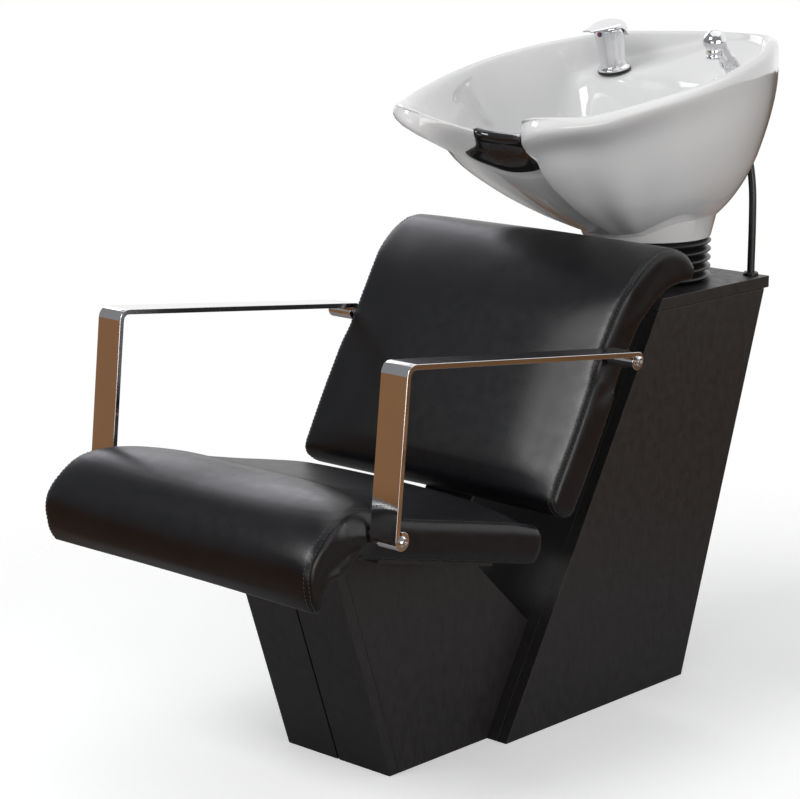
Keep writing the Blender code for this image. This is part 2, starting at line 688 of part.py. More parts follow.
# armrests: the leg meets the front of the seat's eye, the bar the top of the back's eye
eye_mid = ARM_EYE_R - ARM_T / 2
seat_eye, back_eye = chair + Vector(ARM_SEAT_EYE), chair + Vector(ARM_BACK_EYE)
corner = chair + Vector(ARM_CORNER) + Vector((ARM_T / 2, -ARM_T / 2))


def tangent(centre, away, side):
    """Where a line from a far point touches an eye's middle circle, on the chosen side."""
    line = away - centre
    lift = math.acos(eye_mid / line.length)
    return centre + Matrix.Rotation(side * lift, 2) @ line.normalized() * eye_mid


def curl(centre, start, sweep, steps=14):
    """The rolled end: round the eye from where the bar touches it."""
    turns = [Matrix.Rotation(sweep * k / steps, 2) for k in range(steps + 1)]
    return [tuple(centre + turn @ (start - centre)) for turn in turns]


leg_touch = tangent(seat_eye, corner, 1)
bar_touch = tangent(back_eye, corner, -1)
EYE_SWEEP = math.radians(285)
arm_path = list(reversed(curl(seat_eye, leg_touch, EYE_SWEEP)))
arm_path += rounded_corner(leg_touch, corner, bar_touch, ARM_BEND_R)
arm_path += curl(back_eye, bar_touch, -EYE_SWEEP)
arm_outline = bar_outline(arm_path, ARM_T)
arm_in = max(SEAT_HALF, back_half) + ARM_SIDE_GAP
arm_out = arm_in + ARM_WIDTH
for side, label in ((1, "left"), (-1, "right")):
    add("armrest_" + label, prism(arm_outline, side * arm_in, side * arm_out), CHROME, smooth=True)
    for eye, pad, half, where in ((seat_eye, seat_cushion, SEAT_HALF, "seat"),
                                  (back_eye, back_cushion, back_half, "back")):
        inner = half - BOLT_IN_PAD
        profile = [(BOLT_R, inner), (BOLT_R, arm_out + GAP), (BOLT_HEAD_R, arm_out + GAP),
                   (BOLT_HEAD_R, arm_out + 0.5 * BOLT_HEAD_H), (0.75 * BOLT_HEAD_R, arm_out + BOLT_HEAD_H),
                   (BOLT_SOCKET_R, arm_out + BOLT_HEAD_H), (BOLT_SOCKET_R, arm_out + 0.4 * BOLT_HEAD_H)]
        name = "arm_bolt_%s_%s" % (where, label)
        add(name, along_x(turned(profile, sides=16), (0.0, eye.x, eye.y), side < 0), CHROME, smooth=True)
        hole = [(BOLT_R + GAP, inner - GAP), (BOLT_R + GAP, half + ARM_WIDTH)]
        cut(pad, along_x(turned(hole, sides=16), (0.0, eye.x, eye.y), side < 0), name + "_hole")


# bowl
def rim_half():
    """Evenly spaced points along half of the rim's crest, with outward directions."""
    rim = [Vector((x, bowl_y + y, CAB_HEIGHT + z)) for x, y, z in RIM]
    mirror_first = Vector((-rim[1].x, rim[1].y, rim[1].z))
    mirror_last = Vector((-rim[-2].x, rim[-2].y, rim[-2].z))
    fine = spline(rim, 24, mirror_first, mirror_last)
    lengths = [0.0]
    for a, b in zip(fine, fine[1:]):
        lengths.append(lengths[-1] + (b - a).length)
    points = []
    span = 0
    for k in range(BOWL_STEPS + 1):
        want = lengths[-1] * k / BOWL_STEPS
        while span < len(fine) - 2 and lengths[span + 1] < want:
            span += 1
        t = (want - lengths[span]) / (lengths[span + 1] - lengths[span])
        points.append(fine[span].lerp(fine[span + 1], min(t, 1.0)))
    directions = []
    for k in range(BOWL_STEPS + 1):
        total = Vector((0.0, 0.0))
        for wide in (1, 2, 3):
            ends = []
            for step in (k - wide, k + wide):
                mirrored = step < 0 or step > BOWL_STEPS
                p = points[abs(step) if step < 0 else BOWL_STEPS - abs(step - BOWL_STEPS)]
                ends.append(Vector((-p.x if mirrored else p.x, p.y)))
            run = (ends[1] - ends[0]).normalized()
            total += Vector((run.y, -run.x))
        directions.append(total.normalized())
    return points, directions


def bowl_foot_point(crest, radius, height, centre_y):
    turn = math.atan2(crest.x, centre_y - crest.y)
    return Vector((radius * math.sin(turn), centre_y - radius * math.cos(turn), height))


basin_z = foot_z + FOOT_RECESS + BASIN_FLOOR
BASIN_RINGS = (0.16, 0.32, 0.48, 0.62, 0.75, 0.85, 0.92, 0.965)
DECK_RING = 4                   # the ring that follows the deck's front edge
BELLY_RINGS = (0.22, 0.44, 0.64, 0.83)


def bowl_section(crest, out, share):
    """One meridian of the bowl as a closed loop: down the outside, under the foot, up the basin."""
    side = Vector((out.x, out.y, 0.0))
    up = Vector((0.0, 0.0, 1.0))
    lip = crest + side * knots(LIP_OUT, share) - up * knots(LIP_HEIGHT, share)
    inward = Vector((-crest.x, bowl_y - 0.06 - crest.y, 0.0)).normalized()
    scoop = lip + inward * knots(SCOOP_IN, share) - up * knots(SCOOP_DROP, share)
    hollow = lip.lerp(scoop, 0.45) + inward * knots(HOLLOW, share)
    full = knots(COLLAR, share)
    collar = bowl_foot_point(crest, BOWL_FOOT_R + full * BOWL_COLLAR_OUT, foot_z + full * BOWL_COLLAR_H,
                             bowl_y)
    belly = knots(BELLY, share)
    pull = collar.lerp(scoop, 0.5 + 0.5 * belly)
    pull.z = scoop.z + (collar.z - scoop.z) * (0.5 + 0.3 * belly)
    section = [crest, crest + side * RIM_ROLL * 0.72 - up * RIM_ROLL * 0.42, lip, hollow, scoop]
    section += [scoop * (1 - t) ** 2 + pull * 2 * t * (1 - t) + collar * t * t for t in BELLY_RINGS]
    section += [collar, bowl_foot_point(crest, BOWL_FOOT_R, foot_z, bowl_y)]
    recess = BOWL_FOOT_R - FOOT_RING
    section += [bowl_foot_point(crest, recess, foot_z, bowl_y)]
    section += [bowl_foot_point(crest, recess - 0.003, foot_z + FOOT_RECESS, bowl_y)]
    section += [bowl_foot_point(crest, DRAIN_R, foot_z + FOOT_RECESS, drain_y)]
    section += [bowl_foot_point(crest, DRAIN_R, basin_z, drain_y)]
    section += [bowl_foot_point(crest, DRAIN_SEAT_R, basin_z, drain_y)]
    seat = bowl_foot_point(crest, DRAIN_SEAT_R, basin_z, drain_y)
    inward_roll = knots(RIM_IN, share)
    inner_rim = crest - side * inward_roll - up * inward_roll * 0.55
    power = knots(BASIN_POWER, share)
    edge = (deck_front_y - seat.y) / max(inner_rim.y - seat.y, 0.01)
    on_deck = min(max((inner_rim.y - deck_front_y + 0.005) / 0.025, 0.0), 1.0)
    for k, ring in enumerate(BASIN_RINGS):
        over = max(k - DECK_RING, 0) / (len(BASIN_RINGS) - 1 - DECK_RING)
        to_deck = BASIN_RINGS[min(k, DECK_RING)] / BASIN_RINGS[DECK_RING]
        deck_ring = edge * to_deck + (0.985 - edge) * over ** 0.15
        at = ring + (deck_ring - ring) * on_deck
        spot = seat.lerp(inner_rim, at)
        wall_z = basin_z + (inner_rim.z - basin_z) * at ** power
        rise = min(deck_ring / edge, 1.0) ** 1.7
        deck_z = basin_z + (deck_at(max(spot.y, deck_front_y)) - basin_z) * rise
        if k == len(BASIN_RINGS) - 1:
            deck_z += 0.25 * (inner_rim.z - deck_z)
        spot.z = wall_z + (deck_z - wall_z) * on_deck
        section.append(spot)
    section += [inner_rim, crest - side * inward_roll * 0.6 - up * inward_roll * 0.16]
    return section


rim_points, rim_out = rim_half()
half_sections = [bowl_section(p, d, k / BOWL_STEPS) for k, (p, d) in enumerate(zip(rim_points, rim_out))]
mirrored = [[Vector((-p.x, p.y, p.z)) for p in section] for section in reversed(half_sections[1:-1])]
sections = half_sections + mirrored
for p in sections[0] + sections[BOWL_STEPS]:
    p.x = 0.0
bowl_rings = [[section[k] for section in sections] for k in range(len(sections[0]))]

tilt_axis = pivot("bowl_tilt_axis", (0.0, bowl_y, tilt_z))


def on_tilt(bm):
    """Model about the bowl's tilt axis."""
    bmesh.ops.transform(bm, matrix=Matrix.Translation(-tilt_axis.location), verts=bm.verts)
    return bm


bowl = add("bowl", on_tilt(loft(bowl_rings, wrap=True)), CERAMIC, tilt_axis, smooth=True)
inset = [p.to_2d() - POCKET_WALL * d for p, d in zip(rim_points, rim_out)]
pocket = []
for a, b in zip(inset, inset[1:]):
    if a.y <= pocket_y < b.y:
        pocket.append(tuple(a.lerp(b, (pocket_y - a.y) / (b.y - a.y))))
    if b.y > pocket_y:
        pocket.append(tuple(b))
pocket = pocket + [(-x, y) for x, y in reversed(pocket) if x > 1e-6]
mouth = [(-POCKET_MOUTH_HALF, pocket_mouth_y), (POCKET_MOUTH_HALF, pocket_mouth_y),
         (POCKET_MOUTH_HALF, pocket_mouth_y + 0.25), (-POCKET_MOUTH_HALF, pocket_mouth_y + 0.25)]
under_deck = DECK_T / math.cos(DECK_SLOPE)
ceiling = [(x, y, deck_at(y) - under_deck) for x, y in pocket]
hollow = fuse(loft([[(x, y, pocket_mouth_z - 0.006) for x, y in pocket], ceiling]),
              plan_prism(mouth, foot_z - 0.1, pocket_mouth_z))
cut(bowl, on_tilt(hollow), "deck_hollow")
tap_frame = on_deck(TAP_X, tap_y)
spray_frame = on_deck(SPRAY_X, spray_y)
for frame, radius, label in ((tap_frame, TAP_SHANK_R, "tap"), (spray_frame, SPRAY_SHANK_R, "spray")):
    bore = turned([(radius + GAP, -2 * DECK_T), (radius + GAP, DECK_T)])
    cut(bowl, on_tilt(placed(bore, frame)), label + "_hole")

# neck pad on the front of the notch, hollow above a soft roll; it follows the same sections
PAD_ROWS = ((0, 0.0, 0.45, 0.84), (1, 0.0, 0.50, 0.82), (1, 0.30, 0.38, 0.77), (1, 0.55, 0.75, 0.80),
            (1, 0.78, 1.0, 0.91), (1, 1.0, 0.65, 1.0))
PAD_COLUMNS = 5                 # on each side
bowl_skin = BVHTree.FromBMesh(loft(bowl_rings, wrap=True))


def pad_layer(thick):
    """The notch's face, moved out by the clearance or by the clearance and the pad's thickness."""
    spots = []
    for column in range(-PAD_COLUMNS, PAD_COLUMNS + 1):
        row = []
        for k, t, _, reach in PAD_ROWS:
            place = abs(column) / PAD_COLUMNS * reach * NECK_REACH
            i = int(place)
            near, far = [half_sections[n][k].lerp(half_sections[n][k + 1], t) for n in (i, i + 1)]
            p = near.lerp(far, place - i)
            row.append(bowl_skin.find_nearest(Vector((math.copysign(p.x, column), p.y, p.z)))[0])
        spots.append(row)
    layer = []
    for j, row in enumerate(spots):
        moved = []
        for k, p in enumerate(row):
            down = row[min(k + 1, len(row) - 1)] - row[max(k - 1, 0)]
            across = spots[min(j + 1, len(spots) - 1)][k] - spots[max(j - 1, 0)][k]
            out = down.cross(across).normalized()
            moved.append(p + out * (2 * GAP + thick * NECK_PAD_T * PAD_ROWS[k][2]))
        layer.append(moved)
    return layer


def pad_shell(low, high):
    """Close two matching grids of points into one thick skin."""
    bm = bmesh.new()
    grids = [[[bm.verts.new(p) for p in row] for row in layer] for layer in (low, high)]
    rows, columns = len(low), len(low[0])
    for grid in grids:
        for i in range(rows - 1):
            for j in range(columns - 1):
                bm.faces.new((grid[i][j], grid[i + 1][j], grid[i + 1][j + 1], grid[i][j + 1]))
    border = [(i, 0) for i in range(rows)] + [(rows - 1, j) for j in range(1, columns)]
    border += [(i, columns - 1) for i in range(rows - 2, -1, -1)]
    border += [(0, j) for j in range(columns - 2, 0, -1)]
    for (i, j), (k, m) in zip(border, border[1:] + border[:1]):
        bm.faces.new((grids[0][i][j], grids[0][k][m], grids[1][k][m], grids[1][i][j]))
    return bm


neck_pad = pad_shell(pad_layer(0.0), pad_layer(1.0))
add("neck_rest", on_tilt(neck_pad), RUBBER, tilt_axis, smooth=True)

# waste: strainer with a hollow stem, its nut in the foot's recess, and the hose to the floor outlet
stem_r = DRAIN_R - GAP
stem_low = foot_z + FOOT_RECESS - WASTE_STEM_BELOW
flange_z = basin_z + GAP
strainer = add("waste_strainer", on_tilt(turned([
    (stem_r - WASTE_WALL, stem_low), (stem_r, stem_low), (stem_r, flange_z), (STRAINER_FLANGE_R, flange_z),
    (STRAINER_FLANGE_R, flange_z + STRAINER_T), (stem_r - WASTE_WALL, flange_z + STRAINER_T - 0.001),
    (0.30 * stem_r, flange_z + STRAINER_T - 0.001), (0.30 * stem_r, flange_z),
    (stem_r - WASTE_WALL, flange_z)], (0.0, drain_y), wrap=True)), CHROME, tilt_axis, smooth=True)
ring_r = 0.62 * stem_r
for k in range(STRAINER_HOLES):
    turn = 2 * math.pi * (k + 0.12) / STRAINER_HOLES
    spot = (ring_r * math.sin(turn), drain_y + ring_r * math.cos(turn))
    hole = turned([(STRAINER_HOLE_R, flange_z - 0.004), (STRAINER_HOLE_R, flange_z + 0.01)], spot, 10)
    cut(strainer, on_tilt(hole), "strainer_hole_%d" % k)
nut_top = foot_z + FOOT_RECESS - GAP
add("waste_nut", on_tilt(turned([(DRAIN_R, nut_top - WASTE_NUT_H), (WASTE_NUT_R, nut_top - WASTE_NUT_H),
                                 (WASTE_NUT_R, nut_top), (DRAIN_R, nut_top)], (0.0, drain_y), wrap=True)),
    PLASTIC, tilt_axis)


def tube(name, points, radius, look, sides=3):
    """A hose along a smooth curve through its route, with closed ends."""
    curve = bpy.data.curves.new(name, "CURVE")
    curve.dimensions = "3D"
    curve.bevel_depth = radius
    curve.bevel_resolution = sides
    curve.use_fill_caps = True
    route = spline(points, 4)
    line = curve.splines.new("POLY")
    line.points.add(len(route) - 1)
    for spot, p in zip(line.points, route):
        spot.co = (p.x, p.y, p.z, 1.0)
    curve.materials.append(paint(name, *look))
    obj = bpy.data.objects.new(name, curve)
    bpy.context.collection.objects.link(obj)
    obj.parent = root
    return obj


hose_top = stem_low - GAP
hose_low = 0.2 * BOARD
waste_route = [(0.0, drain_y + (outlet[1] - drain_y) * run, hose_top + (hose_low - hose_top) * drop)
               for drop, run in WASTE_ROUTE]
tube("waste_hose", waste_route, WASTE_HOSE_R, PLASTIC)

# tilt mechanism: fixed yoke on the cabinet, saddle under the bowl, a pin on each side
yoke_z = CAB_HEIGHT + GAP
yoke_out = TILT_EAR_X + TILT_EAR


def ear(x0, x1, foot_z, rounded_up):
    """A lug with a round end about the tilt axis."""
    turns = [math.pi * k / 10 for k in range(11)]
    sign = 1 if rounded_up else -1
    outline = [(bowl_y + TILT_EAR_R * math.cos(t), tilt_z + sign * TILT_EAR_R * math.sin(t)) for t in turns]
    outline += [(bowl_y - TILT_EAR_R, foot_z), (bowl_y + TILT_EAR_R, foot_z)]
    return prism(outline, x0, x1)


yoke = prism([(bowl_y - TILT_BASE_HALF_DEPTH, yoke_z), (bowl_y + TILT_BASE_HALF_DEPTH, yoke_z),
              (bowl_y + TILT_BASE_HALF_DEPTH, yoke_z + TILT_PLATE),
              (bowl_y - TILT_BASE_HALF_DEPTH, yoke_z + TILT_PLATE)], -yoke_out, yoke_out)
saddle_top = foot_z + FOOT_RECESS - GAP
saddle = turned([(SADDLE_R, saddle_top - TILT_PLATE), (SADDLE_R, saddle_top)], (0.0, bowl_y), 32)
for side in (1, -1):
    yoke = fuse(yoke, ear(side * TILT_EAR_X, side * yoke_out, yoke_z + TILT_PLATE / 2, True))
    inner_x = TILT_EAR_X - 2 * GAP
    saddle_ear = ear(side * (inner_x - TILT_EAR), side * inner_x, saddle_top - TILT_PLATE / 2, False)
    saddle = fuse(saddle, saddle_ear)
yoke_obj = add("tilt_yoke", yoke, BLACK_STEEL)
saddle_obj = add("tilt_saddle", on_tilt(saddle), BLACK_STEEL, tilt_axis)
yoke_pass = turned([(waste_pass_r, CAB_HEIGHT - BOARD), (waste_pass_r, CAB_HEIGHT + BOARD)], (0.0, drain_y))
cut(yoke_obj, yoke_pass, "yoke_waste_cut")
saddle_r = WASTE_NUT_R + 0.002
saddle_pass = [(saddle_r, saddle_top - 3 * TILT_PLATE), (saddle_r, saddle_top + TILT_PLATE)]
saddle_pass = turned(saddle_pass, (0.0, drain_y))
cut(saddle_obj, on_tilt(saddle_pass), "saddle_waste_cut")
pin_bore = [(TILT_PIN_R + RUNNING, -2 * yoke_out), (TILT_PIN_R + RUNNING, 2 * yoke_out)]
cut(yoke_obj, along_x(turned(pin_bore), (0.0, bowl_y, tilt_z)), "yoke_bore")
cut(saddle_obj, on_tilt(along_x(turned(pin_bore), (0.0, bowl_y, tilt_z))), "saddle_bore")
pin = [(TILT_PIN_R, TILT_EAR_X - TILT_EAR - 0.004), (TILT_PIN_R, yoke_out + GAP),
       (1.6 * TILT_PIN_R, yoke_out + GAP), (1.6 * TILT_PIN_R, yoke_out + 0.004)]
for side, label in ((1, "left"), (-1, "right")):
    add("tilt_pin_" + label, along_x(turned(pin), (0.0, bowl_y, tilt_z), side < 0), BLACK_STEEL, smooth=True)

# bellows between the cabinet and the bowl's foot
bellows_low, bellows_high = CAB_HEIGHT + GAP, foot_z - GAP
pitch = (bellows_high - bellows_low) / BELLOWS_RIBS
valley = BELLOWS_R - BELLOWS_RIB_DEPTH
skin = []
for k in range(BELLOWS_RIBS):
    base = bellows_low + k * pitch
    skin += [(valley, base), (BELLOWS_R, base + 0.38 * pitch), (BELLOWS_R, base + 0.62 * pitch)]
skin.append((valley, bellows_high))
lining = [(r - BELLOWS_WALL, z) for r, z in reversed(skin)]
add("bellows", turned(skin + lining, (0.0, bowl_y), 32, wrap=True), RUBBER, smooth=True)

# mixer tap, square to the deck
def ring_nut(radius, bore):
    """A nut against the deck's underside."""
    top = -DECK_T - GAP
    low = top - TAP_NUT_H
    return turned([(bore + GAP, low), (radius, low), (radius, top), (bore + GAP, top)], wrap=True)


gasket_r = TAP_BASE_R + GASKET_OUT
gasket_top = GAP + GASKET_T
gasket = turned([(TAP_SHANK_R + GAP, GAP), (gasket_r, GAP), (gasket_r, gasket_top),
                 (TAP_SHANK_R + GAP, gasket_top)], wrap=True)
add("tap_gasket", on_tilt(placed(gasket, tap_frame)), RUBBER, tilt_axis, smooth=True)
tap_z = gasket_top + GAP
shank_low = -DECK_T - TAP_SHANK_BELOW
tap_top = tap_z + TAP_HEIGHT
column = [(TAP_SHANK_R, shank_low), (TAP_SHANK_R, tap_z), (TAP_BASE_R, tap_z), (TAP_BASE_R, tap_z + 0.0032),
          (0.90 * TAP_BASE_R, tap_z + 0.0046), (1.03 * TAP_WAIST_R, tap_z + 0.0075),
          (TAP_WAIST_R, tap_z + 0.012), (TAP_WAIST_R, tap_z + 0.3 * TAP_HEIGHT),
          (0.5 * (TAP_WAIST_R + TAP_TOP_R), tap_z + 0.55 * TAP_HEIGHT), (TAP_TOP_R, tap_top - TAP_STRAIGHT),
          (TAP_TOP_R, tap_top - 0.0018), (0.94 * TAP_TOP_R, tap_top)]
column = turned(column)
add("tap_body", on_tilt(placed(column, tap_frame)), CHROME, tilt_axis, smooth=True)
add("tap_nut", on_tilt(placed(ring_nut(TAP_NUT_R, TAP_SHANK_R), tap_frame)), BLACK_STEEL, tilt_axis)

index = turned([(INDEX_R, 0.0), (INDEX_R, INDEX_T)], sides=16)
index_frame = Matrix.Translation((0.0, -TAP_TOP_R - GAP, tap_top - INDEX_BELOW))
index = placed(index, tap_frame @ index_frame @ Matrix.Rotation(math.radians(90), 4, "X"))
add("tap_index", on_tilt(index), ENAMEL, tilt_axis)

# the cap and the lever turn on the column together; the lever lifts about its rear edge
swivel = pivot("tap_swivel_axis", tap_frame @ Vector((0.0, 0.0, tap_top + GAP)), DECK_SLOPE)
CAP_CURVE = ((1.0, 0.0), (0.95, 0.33), (0.75, 0.78), (0.46, 1.0))
cap = [(CAP_R * share, CAP_DOME * rise) for share, rise in CAP_CURVE]
add("tap_cartridge", turned(cap), CHROME, swivel, smooth=True)


def arch(half, low, high, y, steps=10):
    """A squarish arch over the axis, from one foot to the other."""
    points = []
    for k in range(steps + 1):
        turn = math.pi * k / steps
        across, up = math.cos(turn), math.sin(turn)
        points.append((math.copysign(abs(across) ** 0.67, across) * half, y, low + (high - low) * up ** 0.67))
    return points


lever_rings = []
for y, half, high, rim, hollow in LEVER:
    roof = high - LEVER_T if hollow else rim + 0.2 * LEVER_T
    lever_rings.append(arch(half, rim, high, y) + list(reversed(arch(half - LEVER_T, rim, roof, y))))
lever = add("tap_lever", loft(lever_rings), CHROME, swivel, smooth=True)
about(lever, (0.0, LEVER[0][0], LEVER[0][3]))

# hand spray in its holder, square to the deck too
sleeve_z = GAP + SPRAY_BASE_H + 0.006
base = turned([(SPRAY_SHANK_R, shank_low), (SPRAY_SHANK_R, GAP), (SPRAY_BASE_R, GAP),
               (SPRAY_BASE_R, GAP + SPRAY_BASE_H), (0.75 * SPRAY_BASE_R, sleeve_z)])
tip = Matrix.Translation((0.0, 0.0, sleeve_z)) @ Matrix.Rotation(SPRAY_LEAN - DECK_SLOPE, 4, "X")
sleeve = turned([(0.7 * SPRAY_SLEEVE_R, -0.006), (SPRAY_SLEEVE_R, 0.0), (SPRAY_SLEEVE_R, SPRAY_SLEEVE_LEN)])
holder = add("spray_holder", on_tilt(placed(fuse(base, placed(sleeve, tip)), spray_frame)), CHROME, tilt_axis,
             smooth=True)
tip = spray_frame @ tip
sleeve_bore = turned([(SPRAY_STUB_R + RUNNING, SPRAY_SLEEVE_LEN - SPRAY_STUB_LEN - GAP),
                      (SPRAY_STUB_R + RUNNING, 2 * SPRAY_SLEEVE_LEN)])
cut(holder, on_tilt(placed(sleeve_bore, tip)), "sleeve_bore")
spray_nut = placed(ring_nut(SPRAY_NUT_R, SPRAY_SHANK_R), spray_frame)
add("spray_nut", on_tilt(spray_nut), BLACK_STEEL, tilt_axis)

spray_axis = pivot("spray_slide_axis", tip.translation, SPRAY_LEAN)
mouth_z = SPRAY_SLEEVE_LEN + GAP
head_z = mouth_z + SPRAY_LEN
spray_profile = [(SPRAY_STUB_R, SPRAY_SLEEVE_LEN - SPRAY_STUB_LEN), (SPRAY_STUB_R, mouth_z),
                 (SPRAY_NECK_R + 0.002, mouth_z), (SPRAY_NECK_R, mouth_z + 0.010),
                 (SPRAY_NECK_R, head_z - 1.25 * SPRAY_HEAD_R)]
for k in range(1, 6):
    turn = math.radians(-35 + 24 * k)
    spray_profile.append((SPRAY_HEAD_R * math.cos(turn), head_z - 0.35 * SPRAY_HEAD_R
                          + SPRAY_HEAD_R * math.sin(turn)))
spray = add("hand_spray", turned(spray_profile), CHROME, spray_axis, smooth=True)
nozzle_place = Matrix.Translation((0.0, 0.0, head_z - 0.35 * SPRAY_HEAD_R)) @ Matrix.Rotation(
    math.radians(180) - SPRAY_LEAN, 4, "X")
socket = turned([(SPRAY_NOZZLE_R + GAP, 0.55 * SPRAY_HEAD_R), (SPRAY_NOZZLE_R + GAP, 2 * SPRAY_HEAD_R)])
bmesh.ops.transform(socket, matrix=nozzle_place, verts=socket.verts)
cut(spray, socket, "nozzle_socket")
nozzle_top = 0.55 * SPRAY_HEAD_R + GAP
nozzle_low = nozzle_top + SPRAY_NOZZLE_LEN
nozzle = turned([(SPRAY_NOZZLE_R, nozzle_top), (SPRAY_NOZZLE_R, nozzle_low),
                 (0.8 * SPRAY_NOZZLE_R, nozzle_low), (0.8 * SPRAY_NOZZLE_R, nozzle_low - 0.002)])
bmesh.ops.transform(nozzle, matrix=nozzle_place, verts=nozzle.verts)
add("spray_nozzle", nozzle, CHROME, spray_axis, smooth=True)

# hoses from the deck's fittings down into the cabinet
def hose_route(frame, offset, x1):
    """From a fitting's end, back through the hollow under the deck and down through the cabinet's top."""
    below = CAB_HEIGHT - BOARD
    straight = [frame @ Vector((offset, 0.0, shank_low - GAP - run)) for run in (0.0, 0.005, 0.010)]
    x0, y0, z0 = straight[-1]
    return straight + [
        (x0, y0 + 0.008, z0 - 0.013),
        (0.6 * x0 + 0.34 * x1, y0 + 0.026, z0 - 0.026),
        (0.84 * x1, hose_y - 0.006, pocket_mouth_z + 0.012),
        (0.91 * x1, hose_y + 0.001, pocket_mouth_z - 0.022),
        (0.97 * x1, hose_y + 0.002, pocket_mouth_z - 0.065),
        (x1, hose_y, CAB_HEIGHT + 0.080), (x1, hose_y, CAB_HEIGHT + 0.010), (x1, hose_y, below),
        (x1, hose_y, below - 0.2 * HOSE_INTO_CABINET),
        (x1, hose_y - 0.010, below - 0.55 * HOSE_INTO_CABINET),
        (x1, hose_y - 0.036, below - HOSE_INTO_CABINET)]


tube("spray_hose", hose_route(spray_frame, 0.0, HOSE_X), HOSE_R, RUBBER)
for x, label in zip(supply_x, ("hot", "cold")):
    tube("supply_hose_" + label, hose_route(tap_frame, (x - SUPPLY_X) * 0.8, x), SUPPLY_R, BLACK_STEEL, 2)
grommet_z = CAB_HEIGHT + GAP
grommet = [(HOSE_R + GAP, grommet_z), (GROMMET_R, grommet_z), (GROMMET_R, grommet_z + 0.6 * GROMMET_H),
           (0.85 * GROMMET_R, grommet_z + GROMMET_H), (HOSE_R + GAP, grommet_z + GROMMET_H)]
add("hose_grommet", turned(grommet, (HOSE_X, hose_y), wrap=True), RUBBER, smooth=True)
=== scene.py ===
"""Looks of the shampoo backwash unit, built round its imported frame.

Metres, in the frame's axes: +Z is up, +Y runs from the sitter's knees to the bowl, +X is the
sitter's left. Depths in the shape tables are measured from the front edge of the cabinet's foot,
which lies FOOT_FRONT behind the frame's origin.
"""
import json
import math

import bmesh
import bpy
import numpy as np
from mathutils import Matrix, Vector
from mathutils.bvhtree import BVHTree
from mathutils.kdtree import KDTree

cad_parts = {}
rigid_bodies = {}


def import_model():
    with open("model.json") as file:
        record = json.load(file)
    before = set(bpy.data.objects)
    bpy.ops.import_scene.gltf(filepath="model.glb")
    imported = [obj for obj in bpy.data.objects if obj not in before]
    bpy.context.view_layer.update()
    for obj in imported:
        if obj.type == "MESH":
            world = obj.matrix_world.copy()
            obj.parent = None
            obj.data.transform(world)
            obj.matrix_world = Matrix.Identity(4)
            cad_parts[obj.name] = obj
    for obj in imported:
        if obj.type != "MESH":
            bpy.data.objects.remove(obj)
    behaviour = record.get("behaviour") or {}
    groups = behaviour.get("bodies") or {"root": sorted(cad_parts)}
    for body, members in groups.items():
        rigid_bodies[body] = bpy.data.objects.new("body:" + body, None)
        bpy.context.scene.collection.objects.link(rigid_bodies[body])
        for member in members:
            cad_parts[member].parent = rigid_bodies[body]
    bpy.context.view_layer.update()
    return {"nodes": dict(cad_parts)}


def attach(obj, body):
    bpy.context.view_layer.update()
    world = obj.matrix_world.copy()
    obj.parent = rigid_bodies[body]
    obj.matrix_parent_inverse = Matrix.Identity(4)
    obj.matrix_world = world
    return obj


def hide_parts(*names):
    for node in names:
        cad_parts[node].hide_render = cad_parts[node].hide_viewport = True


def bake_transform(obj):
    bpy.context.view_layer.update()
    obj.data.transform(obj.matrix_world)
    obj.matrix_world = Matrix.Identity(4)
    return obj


for old in list(bpy.data.objects):
    bpy.data.objects.remove(old, do_unlink=True)
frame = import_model()
nodes = frame["nodes"]
scene = bpy.context.scene
FOOT_FRONT = -0.209
GAP = 0.0003


# camera at the photograph's viewing angle
CAMERA_PLACE = (2.3253, -2.8106, 1.2736)
CAMERA_YAW = math.radians(42.669)
CAMERA_PITCH = math.radians(12.750)
CAMERA_ROLL = math.radians(0.11)
CAMERA_LENS = 113.304
camera = bpy.data.cameras.new("camera")
camera.sensor_width = 36.0
camera.lens = CAMERA_LENS
camera.clip_start, camera.clip_end = 0.05, 60.0
viewer = bpy.data.objects.new("camera", camera)
scene.collection.objects.link(viewer)
look = Vector((-math.sin(CAMERA_YAW) * math.cos(CAMERA_PITCH),
               math.cos(CAMERA_YAW) * math.cos(CAMERA_PITCH), -math.sin(CAMERA_PITCH)))
viewer.location = CAMERA_PLACE
viewer.rotation_euler = (look.to_track_quat("-Z", "Y").to_matrix()
                         @ Matrix.Rotation(CAMERA_ROLL, 3, "Z")).to_euler()
scene.camera = viewer
scene.view_settings.view_transform = "Standard"


# materials
def node(tree, kind, feeds=None, **settings):
    """A shader node with its settings; feeds gives a value or a source for each input."""
    made = tree.nodes.new("ShaderNode" + kind)
    for key, value in settings.items():
        setattr(made, key, value)
    for socket, feed in (feeds or {}).items():
        if isinstance(feed, bpy.types.NodeSocket):
            tree.links.new(feed, made.inputs[socket])
        else:
            made.inputs[socket].default_value = feed
    return made


def ramp(tree, source, *stops):
    """The colour that two (position, colour) stops give a source."""
    made = node(tree, "ValToRGB", {"Fac": source})
    for element, (at, colour) in zip(made.color_ramp.elements, stops):
        element.position = at
        element.color = (*colour, 1.0)
    return made.outputs["Color"]


